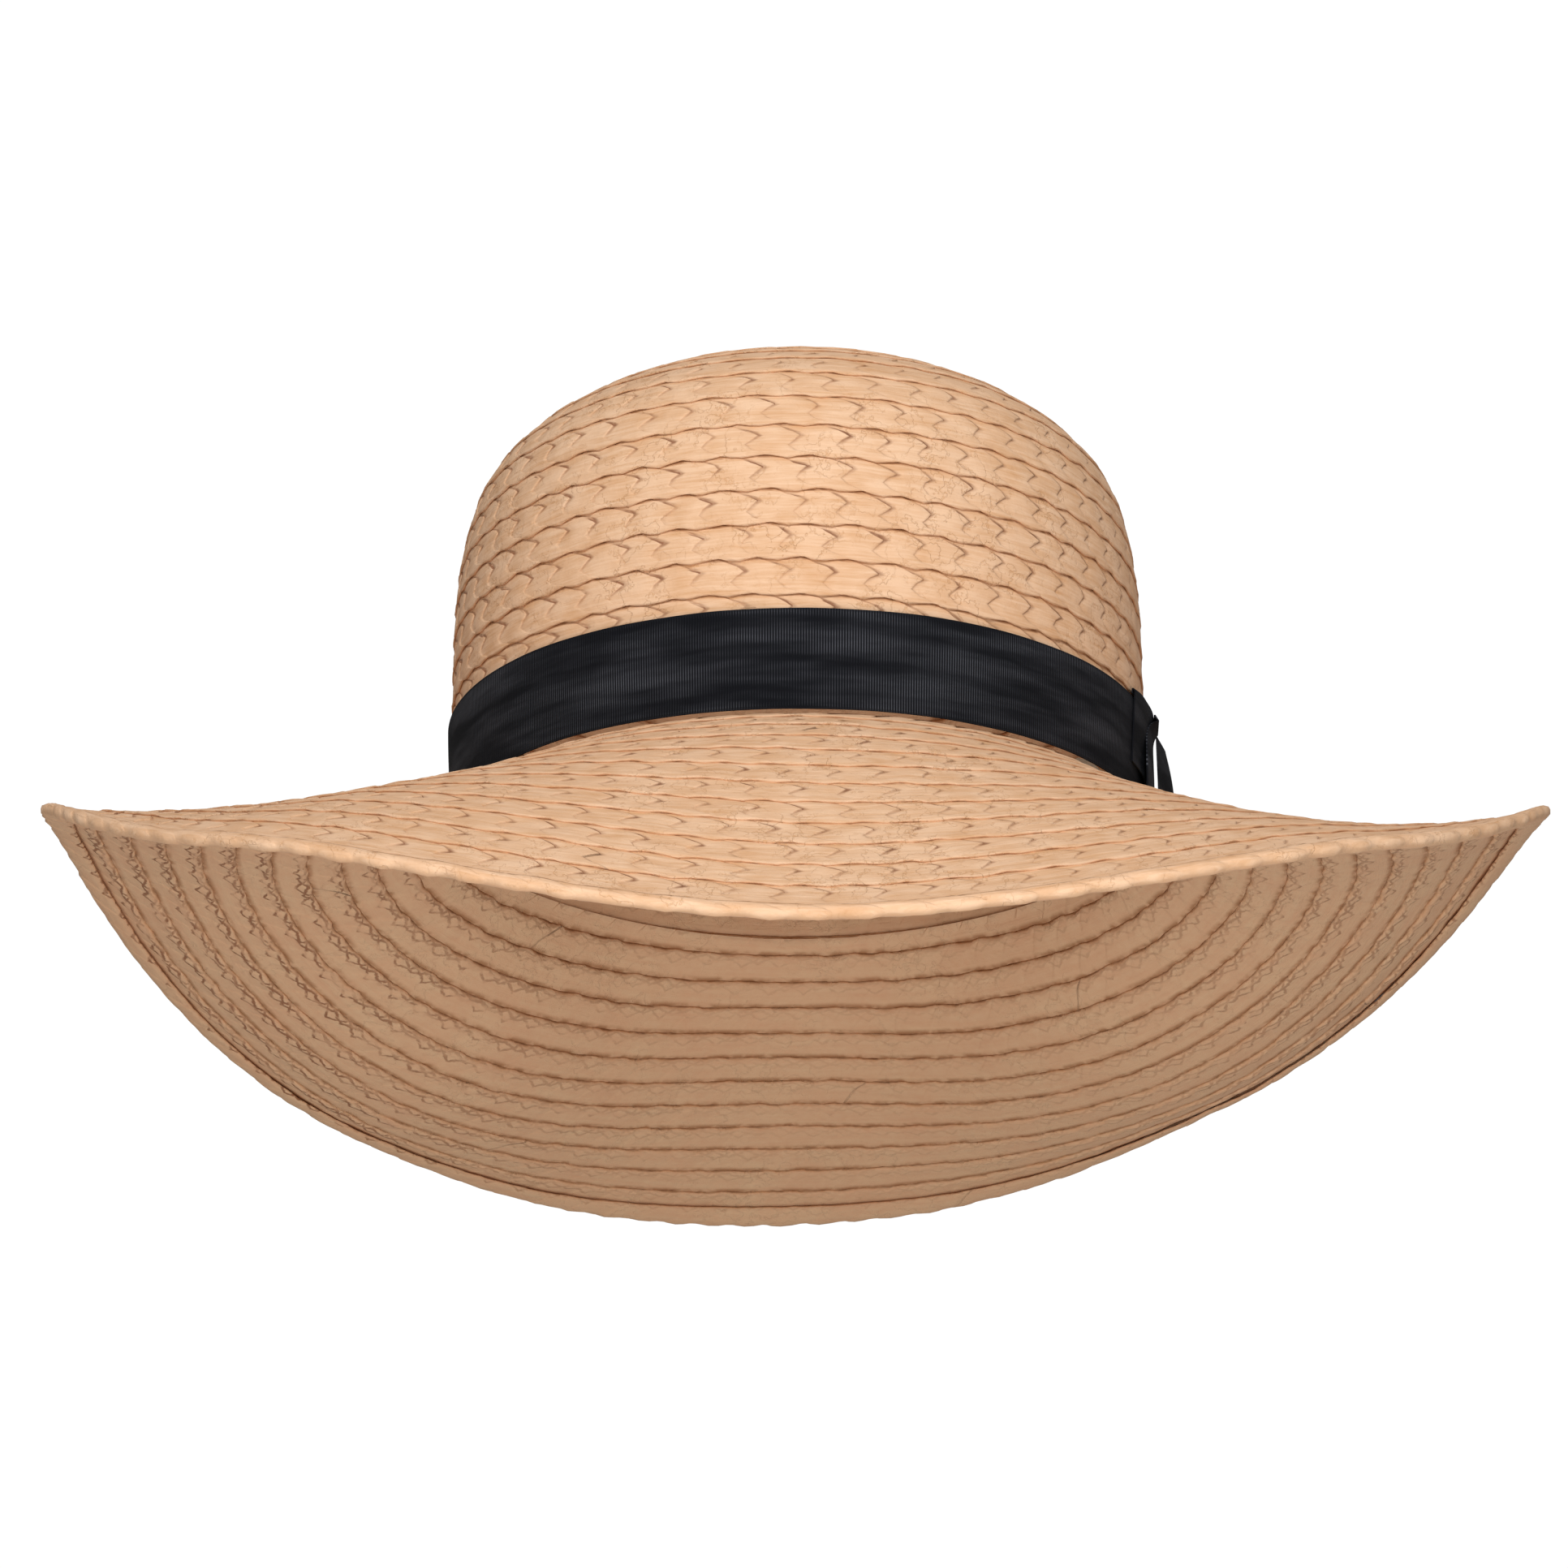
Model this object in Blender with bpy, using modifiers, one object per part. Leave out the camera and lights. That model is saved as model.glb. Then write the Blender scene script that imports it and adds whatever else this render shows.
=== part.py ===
"""Straw sun hat: a plaited crown and a wide saddle-shaped brim, with its edge binding and edge wire,
an inner sweatband with labels, and a ribbon band whose knot has two hinged tails.

Metres, +Z up along the crown. The origin is the middle of the head opening, the front is -Y and the
wearer's left is +X. Angles go round the hat from +X, so the front is -90 degrees.

Every piece is drawn in one of two coordinate systems:
  the wall: an angle, a height, and a distance out from the crown's outer face;
  the brim: an angle, a distance along the brim from the head opening, and a distance above its top face.
"""

import math

import bpy

MM = 0.001

# Crown. Each station is a share of the crown's height and the wall's share of the head oval there.
HEAD_HALF_WIDTH = 88.4 * MM  # outer face at the head opening, along X
HEAD_HALF_LENGTH = 99.6 * MM  # the same, along Y
CROWN_HEIGHT = 116.2 * MM
WALL_STATIONS = ((0.0, 1.0), (0.224, 1.014), (0.448, 1.016), (0.637, 0.994), (0.775, 0.931), (0.878, 0.793))
TIP_SHARE = 0.32  # the flat tip's share of the head oval
SHOULDER_FULLNESS = 0.54  # how far the shoulder carries on in the wall's direction, in head radii
TIP_FULLNESS = 0.59  # and the top in the tip's direction

# Brim: (angle, slope at the crown, slope halfway, slope at the edge), in degrees below level
BRIM_WIDTH = 105.0 * MM
BRIM_SLOPES = (
    (-90, 24, 60, 44),
    (-45, 34, 13, 22),
    (0, 37, -11, -29),
    (45, 69, 29, -28),
    (90, 45, 33, 33),
    (135, 69, 35, -13),
    (180, 34, -10, -23),
    (225, 29, 6, 36),
)

# Straw, binding and wire
STRAW = 2.0 * MM  # thickness of the overlapped plait
BINDING = 1.2 * MM
BINDING_TOP_LIP = 1.8 * MM  # how far the folded row laps over the brim's top
BINDING_UNDER_LIP = 6.0 * MM  # and over its underside
WIRE_RADIUS = 0.6 * MM
JOINER_RADIUS = 1.1 * MM
JOINER_WALL = 0.2 * MM
JOINER_LENGTH = 9.0 * MM
JOINER_ANGLE = 97.0

# Sweatband
SWEATBAND_HEIGHT = 28.0 * MM
SWEATBAND_FOOT = 9.0 * MM  # above the head opening, so a strip of straw shows below the band
SWEATBAND = 0.8 * MM
SWEATBAND_SPLIT = 1.0 * MM  # between its two ends, at the back
JOIN_TAPE_WIDTH = 12.0 * MM
JOIN_TAPE = 0.6 * MM
THREAD_RADIUS = 0.3 * MM
THREAD_HEIGHT = SWEATBAND_FOOT + 2.0 * MM
BACK = 90.0

# Labels
LABEL_WIDTH = 34.0 * MM
LABEL_HEIGHT = 17.0 * MM
LABEL_FOOT = SWEATBAND_FOOT + 6.4 * MM
LABEL_ANGLE = 68.0
SIZE_LABEL_WIDTH = 12.0 * MM
SIZE_LABEL_HEIGHT = 18.0 * MM
SIZE_LABEL_FOOT = SWEATBAND_FOOT + 17.4 * MM
SIZE_LABEL_ANGLE = 104.0
LABEL = 0.5 * MM

# Ribbon
RIBBON_WIDTH = 24.7 * MM
RIBBON = 0.6 * MM
BAND_FOOT = 0.4 * MM
BAND_SPLIT = 2.0 * MM  # between the band's ends, under the knot
KNOT_FRONT = -23.0
KNOT_BACK = 5.0
KNOT_PLATE = 0.8 * MM
KNOT_RISE = 4.0 * MM  # above the band's top edge
KNOT_DEPTH = 3.0 * MM
KNOT_FOOT = 8.0 * MM
TAIL_EXTRA = 0.3 * MM  # how much longer a tail is than the ribbon is wide
TAIL_WIDTH = 22.5 * MM
TAIL_ROOT_WIDTH = 12.0 * MM
TAIL_CUT = 4.0 * MM  # how far the slanted end rises from its long corner
TAIL_SPACE = 1.0 * MM  # between the two tails
TAIL_FLARE = 4.5 * MM  # how far the back tail's outer corner stands off
TAIL_HINGE_ANGLE = -5.0
TACK_ANGLES = {"band_tack_right": 180.0, "band_tack_back": 90.0, "band_tack_front": 262.0}
TACK_LENGTH = 2.6 * MM
TACK_THICKNESS = 0.7 * MM

GAP = 0.3 * MM
COLUMNS = 60  # facets round the hat
BRIM_STEPS = 9
WALL_STEPS = 8
TOP_STEPS = 6
PROFILE_STEPS = 40

STRAW_COLOUR = (0.70, 0.45, 0.24)
BINDING_COLOUR = (0.72, 0.48, 0.27)
RIBBON_COLOUR = (0.012, 0.013, 0.017)


# ---------------------------------------------------------------- curves through stations


def hermite(before, start, end, after, share):
    """A smooth curve through four stations (place, value), read between the middle two."""
    width = end[0] - start[0]
    slope_in = (end[1] - before[1]) / (end[0] - before[0]) * width
    slope_out = (after[1] - start[1]) / (after[0] - start[0]) * width
    t = share
    return (
        (2 * t**3 - 3 * t**2 + 1) * start[1]
        + (t**3 - 2 * t**2 + t) * slope_in
        + (3 * t**2 - 2 * t**3) * end[1]
        + (t**3 - t**2) * slope_out
    )


def round_the_hat(angle, column):
    """One column of BRIM_SLOPES at any angle, as a smooth closed curve."""
    count = len(BRIM_SLOPES)
    turned = (angle - BRIM_SLOPES[0][0]) % 360 + BRIM_SLOPES[0][0]
    stations = [(row[0] + 360 * lap, row[column]) for lap in (-1, 0, 1) for row in BRIM_SLOPES]
    first = max(i for i in range(count, 2 * count) if stations[i][0] <= turned)
    start, end = stations[first], stations[first + 1]
    share = (turned - start[0]) / (end[0] - start[0])
    return hermite(stations[first - 1], start, end, stations[first + 2], share)


def wall_share(height):
    """The crown wall's share of the head oval at a height below the shoulder."""
    place = height / CROWN_HEIGHT
    last = len(WALL_STATIONS) - 3
    first = max(i for i in range(last + 1) if WALL_STATIONS[i][0] <= max(place, 0.0))
    start, end, after = WALL_STATIONS[first : first + 3]
    before = WALL_STATIONS[first - 1] if first else (start[0] - 1, start[1])
    share = (place - start[0]) / (end[0] - start[0])
    return hermite(before, start, end, after, min(max(share, 0.0), 1.0))


def crown_profile():
    """(height, share of the head oval) from the head opening up the wall and over to the flat tip."""
    radius = (HEAD_HALF_WIDTH + HEAD_HALF_LENGTH) / 2
    shoulder = WALL_STATIONS[-2][0] * CROWN_HEIGHT
    heights = [GAP] + [shoulder * step / WALL_STEPS for step in range(1, WALL_STEPS + 1)]
    profile = [(height, wall_share(height)) for height in heights]
    before, start, after = WALL_STATIONS[-3:]
    lean = (after[1] - before[1]) * radius / ((after[0] - before[0]) * CROWN_HEIGHT)
    length = math.hypot(lean, 1.0)
    leave = (SHOULDER_FULLNESS * lean / length, SHOULDER_FULLNESS * radius / length)
    for step in range(1, TOP_STEPS + 1):
        t = step / TOP_STEPS
        from_start, from_end = 2 * t**3 - 3 * t**2 + 1, 3 * t**2 - 2 * t**3
        carry_on, come_in = t**3 - 2 * t**2 + t, t**3 - t**2
        share = from_start * start[1] + carry_on * leave[0] + from_end * TIP_SHARE - come_in * TIP_FULLNESS
        height = from_start * shoulder + carry_on * leave[1] + from_end * CROWN_HEIGHT
        profile.append((height, share))
    return profile


# ---------------------------------------------------------------- the two coordinate systems


def outward(angle):
    """The head oval's normal at an angle, level and of length 1."""
    turn = math.radians(angle)
    x, y = math.cos(turn) / HEAD_HALF_WIDTH, math.sin(turn) / HEAD_HALF_LENGTH
    length = math.hypot(x, y)
    return x / length, y / length


def wall_point(angle, height, out):
    turn, share = math.radians(angle), wall_share(height)
    normal = outward(angle)
    x = HEAD_HALF_WIDTH * share * math.cos(turn) + normal[0] * out
    y = HEAD_HALF_LENGTH * share * math.sin(turn) + normal[1] * out
    return x, y, height


def brim_slope(angle, share):
    """Slope below level in radians, at a share of the brim's width."""
    start, middle, edge = (round_the_hat(angle, column) for column in (1, 2, 3))
    blend = start * (1 - share) ** 2 + middle * 2 * share * (1 - share) + edge * share**2
    return math.radians(blend)


def brim_point(angle, along, above):
    """Walks out from the head opening along the slope, then moves square to the brim's face."""
    steps = max(1, round(PROFILE_STEPS * along / BRIM_WIDTH))
    reach = drop = 0.0
    for step in range(steps):
        slope = brim_slope(angle, (step + 0.5) / steps * along / BRIM_WIDTH)
        reach += math.cos(slope) * along / steps
        drop += math.sin(slope) * along / steps
    slope = brim_slope(angle, along / BRIM_WIDTH)
    reach += math.sin(slope) * above
    x, y, _ = wall_point(angle, 0.0, reach)
    return x, y, math.cos(slope) * above - drop


def angle_of_width(angle, width):
    """The turn in degrees that spans a width on the head oval, near an angle."""
    turn = math.radians(angle)
    speed = math.hypot(HEAD_HALF_WIDTH * math.sin(turn), HEAD_HALF_LENGTH * math.cos(turn))
    return math.degrees(width / speed)


# ---------------------------------------------------------------- makers


def clear_scene():
    for obj in list(bpy.data.objects):
        bpy.data.objects.remove(obj, do_unlink=True)


def material(name, colour, roughness):
    made = bpy.data.materials.new(name)
    made.use_nodes = True
    shader = made.node_tree.nodes["Principled BSDF"]
    shader.inputs["Base Color"].default_value = (*colour, 1.0)
    shader.inputs["Roughness"].default_value = roughness
    shader.inputs["Metallic"].default_value = 0.0
    return made


def add_object(name, data, finish, origin=(0.0, 0.0, 0.0)):
    obj = bpy.data.objects.new(name, data)
    obj.location = origin
    data.materials.append(finish)
    hat.objects.link(obj)
    return obj


def mesh_object(name, points, faces, finish, origin=(0.0, 0.0, 0.0)):
    """Points are given in world space, and the object's own origin is taken off them."""
    mesh = bpy.data.meshes.new(name)
    mesh.from_pydata([[p - o for p, o in zip(point, origin)] for point in points], [], faces)
    mesh.shade_smooth()
    mesh.set_sharp_from_angle(angle=math.radians(35))
    return add_object(name, mesh, finish, origin)


def loft(name, sections, finish, closed, origin=(0.0, 0.0, 0.0)):
    """Skins a row of equal closed sections, round in a ring or from one capped end to the other."""
    size = len(sections[0])
    points = [point for section in sections for point in section]
    faces = []
    for row in range(len(sections) - (0 if closed else 1)):
        here, there = row * size, (row + 1) % len(sections) * size
        for i in range(size):
            j = (i + 1) % size
            faces.append((here + i, there + i, there + j, here + j))
    if not closed:
        last = (len(sections) - 1) * size
        faces += [tuple(range(size)), tuple(last + i for i in reversed(range(size)))]
    return mesh_object(name, points, faces, finish, origin)


def round_angles(start=0.0, end=360.0):
    """The shared columns from one angle to another, so that neighbours' facets line up."""
    step = 360.0 / COLUMNS
    inner = [i * step for i in range(math.ceil(start / step), math.floor(end / step) + 1)]
    inner = [angle for angle in inner if start + 0.2 < angle < end - 0.2]
    return [start, *inner, end]


def ring(name, section, finish):
    """A piece that runs all round: section(angle) gives its closed outline there."""
    sections = [section(360.0 * i / COLUMNS) for i in range(COLUMNS)]
    return loft(name, sections, finish, closed=True)


def strip(name, section, start, end, finish):
    """A piece that runs round from one angle to another, with flat ends."""
    return loft(name, [section(angle) for angle in round_angles(start, end)], finish, closed=False)


def wall_section(angle, low, high, inner, outer, steps=2):
    """A strip's outline on the wall: up its outer face and down its inner one."""
    heights = [low + (high - low) * i / steps for i in range(steps + 1)]
    up = [wall_point(angle, height, outer) for height in heights]
    down = [wall_point(angle, height, inner) for height in reversed(heights)]
    return up + down


def tube(name, points, radius, finish):
    """A round thread or wire through points, with filled ends."""
    curve = bpy.data.curves.new(name, "CURVE")
    curve.dimensions = "3D"
    curve.bevel_depth = radius
    curve.bevel_resolution = 2
    curve.use_fill_caps = True
    spline = curve.splines.new("POLY")
    spline.points.add(len(points) - 1)
    for target, point in zip(spline.points, points):
        target.co = (*point, 1.0)
    return add_object(name, curve, finish)


# ---------------------------------------------------------------- straw pieces


def make_crown():
    """An open shell from the head opening to the flat tip, thickened inwards."""
    rings = crown_profile()
    points, faces = [], []
    for height, share in rings:
        for i in range(COLUMNS):
            turn = 2 * math.pi * i / COLUMNS
            x, y = HEAD_HALF_WIDTH * math.cos(turn), HEAD_HALF_LENGTH * math.sin(turn)
            points.append((x * share, y * share, height))
    for row in range(len(rings) - 1):
        for i in range(COLUMNS):
            j, here, there = (i + 1) % COLUMNS, row * COLUMNS, (row + 1) * COLUMNS
            faces.append((here + i, here + j, there + j, there + i))
    top = (len(rings) - 1) * COLUMNS
    faces.append(tuple(top + i for i in range(COLUMNS)))
    crown = mesh_object("crown", points, faces, straw)
    wall = crown.modifiers.new("wall", "SOLIDIFY")
    wall.thickness = STRAW
    wall.offset = -1.0
    return crown


def edge_room():
    """Space between the brim's cut edge and the inside of the fold, where the wire runs."""
    return 2 * JOINER_RADIUS + 2 * GAP


def middle_of_lips():
    """A station between the binding's two lips, which the brim has too, so that their facets line up."""
    return (BINDING_UNDER_LIP + BINDING_TOP_LIP) / 2


def make_brim():
    """The plaited brim, from the head opening to its cut edge inside the binding."""
    cut = BRIM_WIDTH - BINDING - edge_room()

    def section(angle):
        plain = cut - BINDING_UNDER_LIP
        stations = [plain * i / BRIM_STEPS for i in range(BRIM_STEPS + 1)]
        stations += [cut - lip for lip in (middle_of_lips(), BINDING_TOP_LIP, 0.0)]
        top = [brim_point(angle, along, 0.0) for along in reversed(stations)]
        under = [brim_point(angle, along, -STRAW) for along in stations]
        return top + under

    return ring("brim", section, straw)


def make_edge_binding():
    """The last row of plait, folded round the cut edge: a hook in section, open towards the crown."""
    cut = BRIM_WIDTH - BINDING - edge_room()
    inside = BRIM_WIDTH - BINDING
    top, under = GAP, -STRAW - GAP
    outline = (
        (cut - BINDING_TOP_LIP, top),
        (cut, top),
        (inside, top),
        (inside, under),
        (cut, under),
        (cut - BINDING_TOP_LIP, under),
        (cut - middle_of_lips(), under),
        (cut - BINDING_UNDER_LIP, under),
        (cut - BINDING_UNDER_LIP, under - BINDING),
        (inside, under - BINDING),
        (BRIM_WIDTH, under),
        (BRIM_WIDTH, top),
        (inside, top + BINDING),
        (cut - BINDING_TOP_LIP, top + BINDING),
    )

    def section(angle):
        return [brim_point(angle, along, above) for along, above in outline]

    return ring("edge_binding", section, binding_straw)


def wire_point(angle):
    along = BRIM_WIDTH - BINDING - GAP - JOINER_RADIUS
    return brim_point(angle, along, -STRAW / 2)


def make_edge_wire():
    """One turn of wire whose two ends meet inside the joiner."""
    reach = math.degrees(0.5 * MM / (HEAD_HALF_LENGTH + BRIM_WIDTH))
    start, end = JOINER_ANGLE + reach, JOINER_ANGLE + 360 - reach
    steps = COLUMNS + 12
    points = [wire_point(start + (end - start) * i / steps) for i in range(steps + 1)]
    return tube("edge_wire", points, WIRE_RADIUS, steel)


def make_wire_joiner():
    """A thin sleeve over the wire's two ends, crimped from both sides."""
    half = math.degrees(JOINER_LENGTH / 2 / (HEAD_HALF_LENGTH + BRIM_WIDTH))
    angles = [JOINER_ANGLE - half + 2 * half * i / 4 for i in range(5)]
    rims = []
    for angle in angles:
        centre = wire_point(angle)
        slope = brim_slope(angle, 1.0)
        normal = outward(angle)
        along = (normal[0] * math.cos(slope), normal[1] * math.cos(slope), -math.sin(slope))
        above = (normal[0] * math.sin(slope), normal[1] * math.sin(slope), math.cos(slope))
        for radius in (JOINER_RADIUS, JOINER_RADIUS - JOINER_WALL):
            rim = []
            for i in range(10):
                turn = 2 * math.pi * i / 10
                side, up = radius * math.cos(turn), radius * math.sin(turn)
                rim.append(tuple(c + side * a + up * b for c, a, b in zip(centre, along, above)))
            rims.append(rim)
    outer, inner = rims[0::2], rims[1::2]
    path = outer + inner[::-1]
    return loft("wire_joiner", path, brass, closed=True)


# ---------------------------------------------------------------- inside the crown


def sweatband_faces():
    outer = -STRAW - GAP
    return outer - SWEATBAND, outer


def make_sweatband():
    """A soft band inside the head opening, split at the back."""
    inner, outer = sweatband_faces()
    half = angle_of_width(BACK, SWEATBAND_SPLIT) / 2
    low, high = SWEATBAND_FOOT, SWEATBAND_FOOT + SWEATBAND_HEIGHT

    def section(angle):
        return wall_section(angle, low, high, inner, outer)

    return strip("sweatband", section, BACK + half - 360, BACK - half, cloth)


def make_sweatband_join():
    """A tape stitched over the split."""
    outer = sweatband_faces()[0] - GAP
    half = angle_of_width(BACK, JOIN_TAPE_WIDTH) / 2
    low, high = SWEATBAND_FOOT, SWEATBAND_FOOT + SWEATBAND_HEIGHT

    def section(angle):
        return wall_section(angle, low, high, outer - JOIN_TAPE, outer)

    return strip("sweatband_join", section, BACK - half, BACK + half, tape)


def make_sweatband_thread():
    """The thread that holds the sweatband's foot, from one side of the join tape to the other."""
    out = sweatband_faces()[0] - GAP - THREAD_RADIUS
    half = angle_of_width(BACK, JOIN_TAPE_WIDTH / 2 + 1.0 * MM)
    angles = round_angles(BACK + half - 360, BACK - half)
    return tube("sweatband_thread", [wall_point(a, THREAD_HEIGHT, out) for a in angles], THREAD_RADIUS, thread)


def make_label(name, middle, width, foot, height):
    """A blank woven label on the sweatband's inner face."""
    outer = sweatband_faces()[0] - GAP
    half = angle_of_width(middle, width) / 2

    def section(angle):
        return wall_section(angle, foot, foot + height, outer - LABEL, outer)

    return strip(name, section, middle - half, middle + half, woven)


# ---------------------------------------------------------------- ribbon


def knot_middle():
    return (KNOT_FRONT + KNOT_BACK) / 2


def band_top():
    return BAND_FOOT + RIBBON_WIDTH


def make_hat_band():
    """The ribbon round the foot of the crown. Its two ends meet under the knot."""
    half = angle_of_width(knot_middle(), BAND_SPLIT) / 2

    def section(angle):
        return wall_section(angle, BAND_FOOT, band_top(), GAP, GAP + RIBBON)

    return strip("hat_band", section, knot_middle() + half, knot_middle() + 360 - half, ribbon)


def make_knot_wrap():
    """The ribbon folded over the band: a flat front and a fuller fold that hooks over the band's top edge."""
    plate_inner = GAP + RIBBON + GAP
    plate_outer = plate_inner + KNOT_PLATE
    hook = band_top() + GAP
    span = KNOT_BACK - KNOT_FRONT

    def section(angle):
        share = (angle - KNOT_FRONT) / span
        rise = KNOT_RISE * (0.45 + 0.55 * math.sin(math.pi * min(share / 1.2, 1.0)))
        depth = plate_outer + (KNOT_DEPTH - plate_outer) * math.sin(math.pi * (0.08 + 0.84 * share))
        top = hook + rise
        outline = (
            (KNOT_FOOT, plate_inner),
            (hook, plate_inner),
            (hook, GAP),
            (top - rise / 3, GAP),
            (top, GAP + (depth - GAP) / 3),
            (top - rise / 3, depth),
            (hook + 0.2 * MM, depth),
            (hook - 2 * GAP, plate_outer),
            (KNOT_FOOT, plate_outer),
        )
        return [wall_point(angle, height, out) for height, out in reversed(outline)]

    return strip("knot_wrap", section, KNOT_FRONT, KNOT_BACK, ribbon)


def hinge_frame():
    """The tails' shared hinge: a point, and the outward, sideways and upward directions there."""
    normal = outward(TAIL_HINGE_ANGLE)
    point = wall_point(TAIL_HINGE_ANGLE, band_top() - GAP, KNOT_DEPTH + 2 * RIBBON)
    return point, normal, (-normal[1], normal[0])


def make_tail(name, side, flare):
    """A short ribbon end that hangs from the knot. side is -1 for the front tail and 1 for the back one."""
    hinge, normal, sideways = hinge_frame()
    steps = 5
    sections = []
    for step in range(steps + 1):
        share = step / steps
        width = TAIL_ROOT_WIDTH + (TAIL_WIDTH - TAIL_ROOT_WIDTH) * min(1.0, 1.6 * share) ** 0.7
        near, far = TAIL_SPACE / 2, TAIL_SPACE / 2 + width
        corners = []
        for across, cut, stand in ((near, TAIL_CUT, 0.0), (far, 0.0, flare * share**1.5)):
            down = share * (RIBBON_WIDTH + TAIL_EXTRA - cut)
            corners.append((across * side, down, stand))
        outline = []
        for across, down, stand in corners:
            outline.append((across, down, stand - RIBBON / 2))
        for across, down, stand in reversed(corners):
            outline.append((across, down, stand + RIBBON / 2))
        section = []
        for across, down, out in outline:
            x = hinge[0] + sideways[0] * across + normal[0] * out
            y = hinge[1] + sideways[1] * across + normal[1] * out
            section.append((x, y, hinge[2] - down))
        sections.append(section if side < 0 else section[::-1])
    return loft(name, sections, ribbon, closed=False, origin=hinge)


def make_tack(name, angle):
    """A small bar of thread over the band's top edge."""
    low = band_top() + GAP
    half = angle_of_width(angle, TACK_LENGTH) / 2

    def section(turn):
        return wall_section(turn, low, low + TACK_THICKNESS, GAP, GAP + TACK_THICKNESS, steps=1)

    return strip(name, section, angle - half, angle + half, thread)


clear_scene()
hat = bpy.data.collections.new("straw_sun_hat")
bpy.context.scene.collection.children.link(hat)

straw = material("straw", STRAW_COLOUR, 0.7)
binding_straw = material("binding_straw", BINDING_COLOUR, 0.7)
ribbon = material("ribbon", RIBBON_COLOUR, 0.85)
steel = material("steel", (0.55, 0.55, 0.57), 0.35)
brass = material("brass_sleeve", (0.60, 0.45, 0.20), 0.4)
cloth = material("sweatband_cloth", (0.62, 0.50, 0.36), 0.9)
tape = material("join_tape", (0.58, 0.46, 0.33), 0.9)
thread = material("thread", (0.05, 0.045, 0.04), 0.8)
woven = material("woven_label", (0.80, 0.78, 0.74), 0.8)

make_crown()
make_brim()
make_edge_binding()
make_edge_wire()
make_wire_joiner()
make_sweatband()
make_sweatband_join()
make_sweatband_thread()
make_label("label", LABEL_ANGLE, LABEL_WIDTH, LABEL_FOOT, LABEL_HEIGHT)
make_label("size_label", SIZE_LABEL_ANGLE, SIZE_LABEL_WIDTH, SIZE_LABEL_FOOT, SIZE_LABEL_HEIGHT)
make_hat_band()
make_knot_wrap()
make_tail("tail_front", -1, 0.0)
make_tail("tail_back", 1, TAIL_FLARE)
for tack_name, tack_angle in TACK_ANGLES.items():
    make_tack(tack_name, tack_angle)
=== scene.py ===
# %% [markdown]
# # A straw sun hat
# The hat is one long plait of paper straw, sewn round and round from the tip of the crown to the
# edge of the brim, with a ribbed ribbon round the crown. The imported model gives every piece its
# place and size, and this file gives the pieces their real surfaces. All lengths are in metres.

# %% Load the fixed frame
import math

import bmesh
import bpy
import numpy as np
from mathutils import Matrix, Vector


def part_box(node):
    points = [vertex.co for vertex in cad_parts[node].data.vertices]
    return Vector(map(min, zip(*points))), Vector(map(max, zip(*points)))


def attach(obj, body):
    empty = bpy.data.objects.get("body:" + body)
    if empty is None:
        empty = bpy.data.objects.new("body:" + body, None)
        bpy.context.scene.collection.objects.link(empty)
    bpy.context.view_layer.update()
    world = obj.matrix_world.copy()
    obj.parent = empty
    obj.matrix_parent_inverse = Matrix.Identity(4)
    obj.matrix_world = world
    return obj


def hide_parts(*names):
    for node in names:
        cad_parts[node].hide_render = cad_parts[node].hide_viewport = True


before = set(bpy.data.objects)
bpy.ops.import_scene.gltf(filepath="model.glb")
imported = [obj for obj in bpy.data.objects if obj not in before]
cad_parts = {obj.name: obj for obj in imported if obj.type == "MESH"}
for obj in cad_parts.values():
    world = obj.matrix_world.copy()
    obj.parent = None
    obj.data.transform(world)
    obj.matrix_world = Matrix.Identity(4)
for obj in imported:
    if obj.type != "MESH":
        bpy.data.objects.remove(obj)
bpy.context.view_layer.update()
MM = 0.001


def rounded(values, digits=4):
    return [round(float(value), digits) for value in values]


# %% [markdown]
# ## The camera
# A product camera usually stands level with the object. Here it stands low, in front of the hat, and
# looks up under the brim, so both the top and the underside of the brim show. A long lens keeps the
# near and far edges of the brim about the same scale.

# %% Camera
CAMERA_DISTANCE = 1.0181
CAMERA_LENS_MM = 90.57
LOOKS_UP = math.radians(17.88)
TURNED = math.radians(0.655)
ROLLED = math.radians(-0.052)
AIM_RIGHT = 3.47 * MM
AIM_UP = -13.62 * MM


def new_object(name, data, helper=False):
    """Adds an object to the scene. A helper is not rendered, and is removed at the end."""
    made = bpy.data.objects.new(name, data)
    bpy.context.scene.collection.objects.link(made)
    made.hide_render = helper
    return made


camera = new_object("camera", bpy.data.cameras.new("camera"))
camera.data.lens = CAMERA_LENS_MM
camera.data.sensor_width = 36.0
camera.data.dof.use_dof = False
aim = Matrix.Rotation(-TURNED, 4, "Z") @ Matrix.Rotation(LOOKS_UP, 4, "X")
aim = aim @ Matrix.Rotation(ROLLED, 4, "Y")
place = aim @ Vector((-AIM_RIGHT, -CAMERA_DISTANCE, -AIM_UP))
camera.matrix_world = Matrix.Translation(place) @ aim @ Matrix.Rotation(math.pi / 2, 4, "X")
bpy.context.scene.camera = camera
print("the camera stands at", rounded(place, 3))

# %% [markdown]
# ## Sizes of the hat
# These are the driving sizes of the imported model. The brim is a saddle: at eight places round the hat
# its slope is given at the crown, halfway out and at the edge, in degrees below level. A smooth curve
# through the eight places gives the slopes everywhere else.

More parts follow.
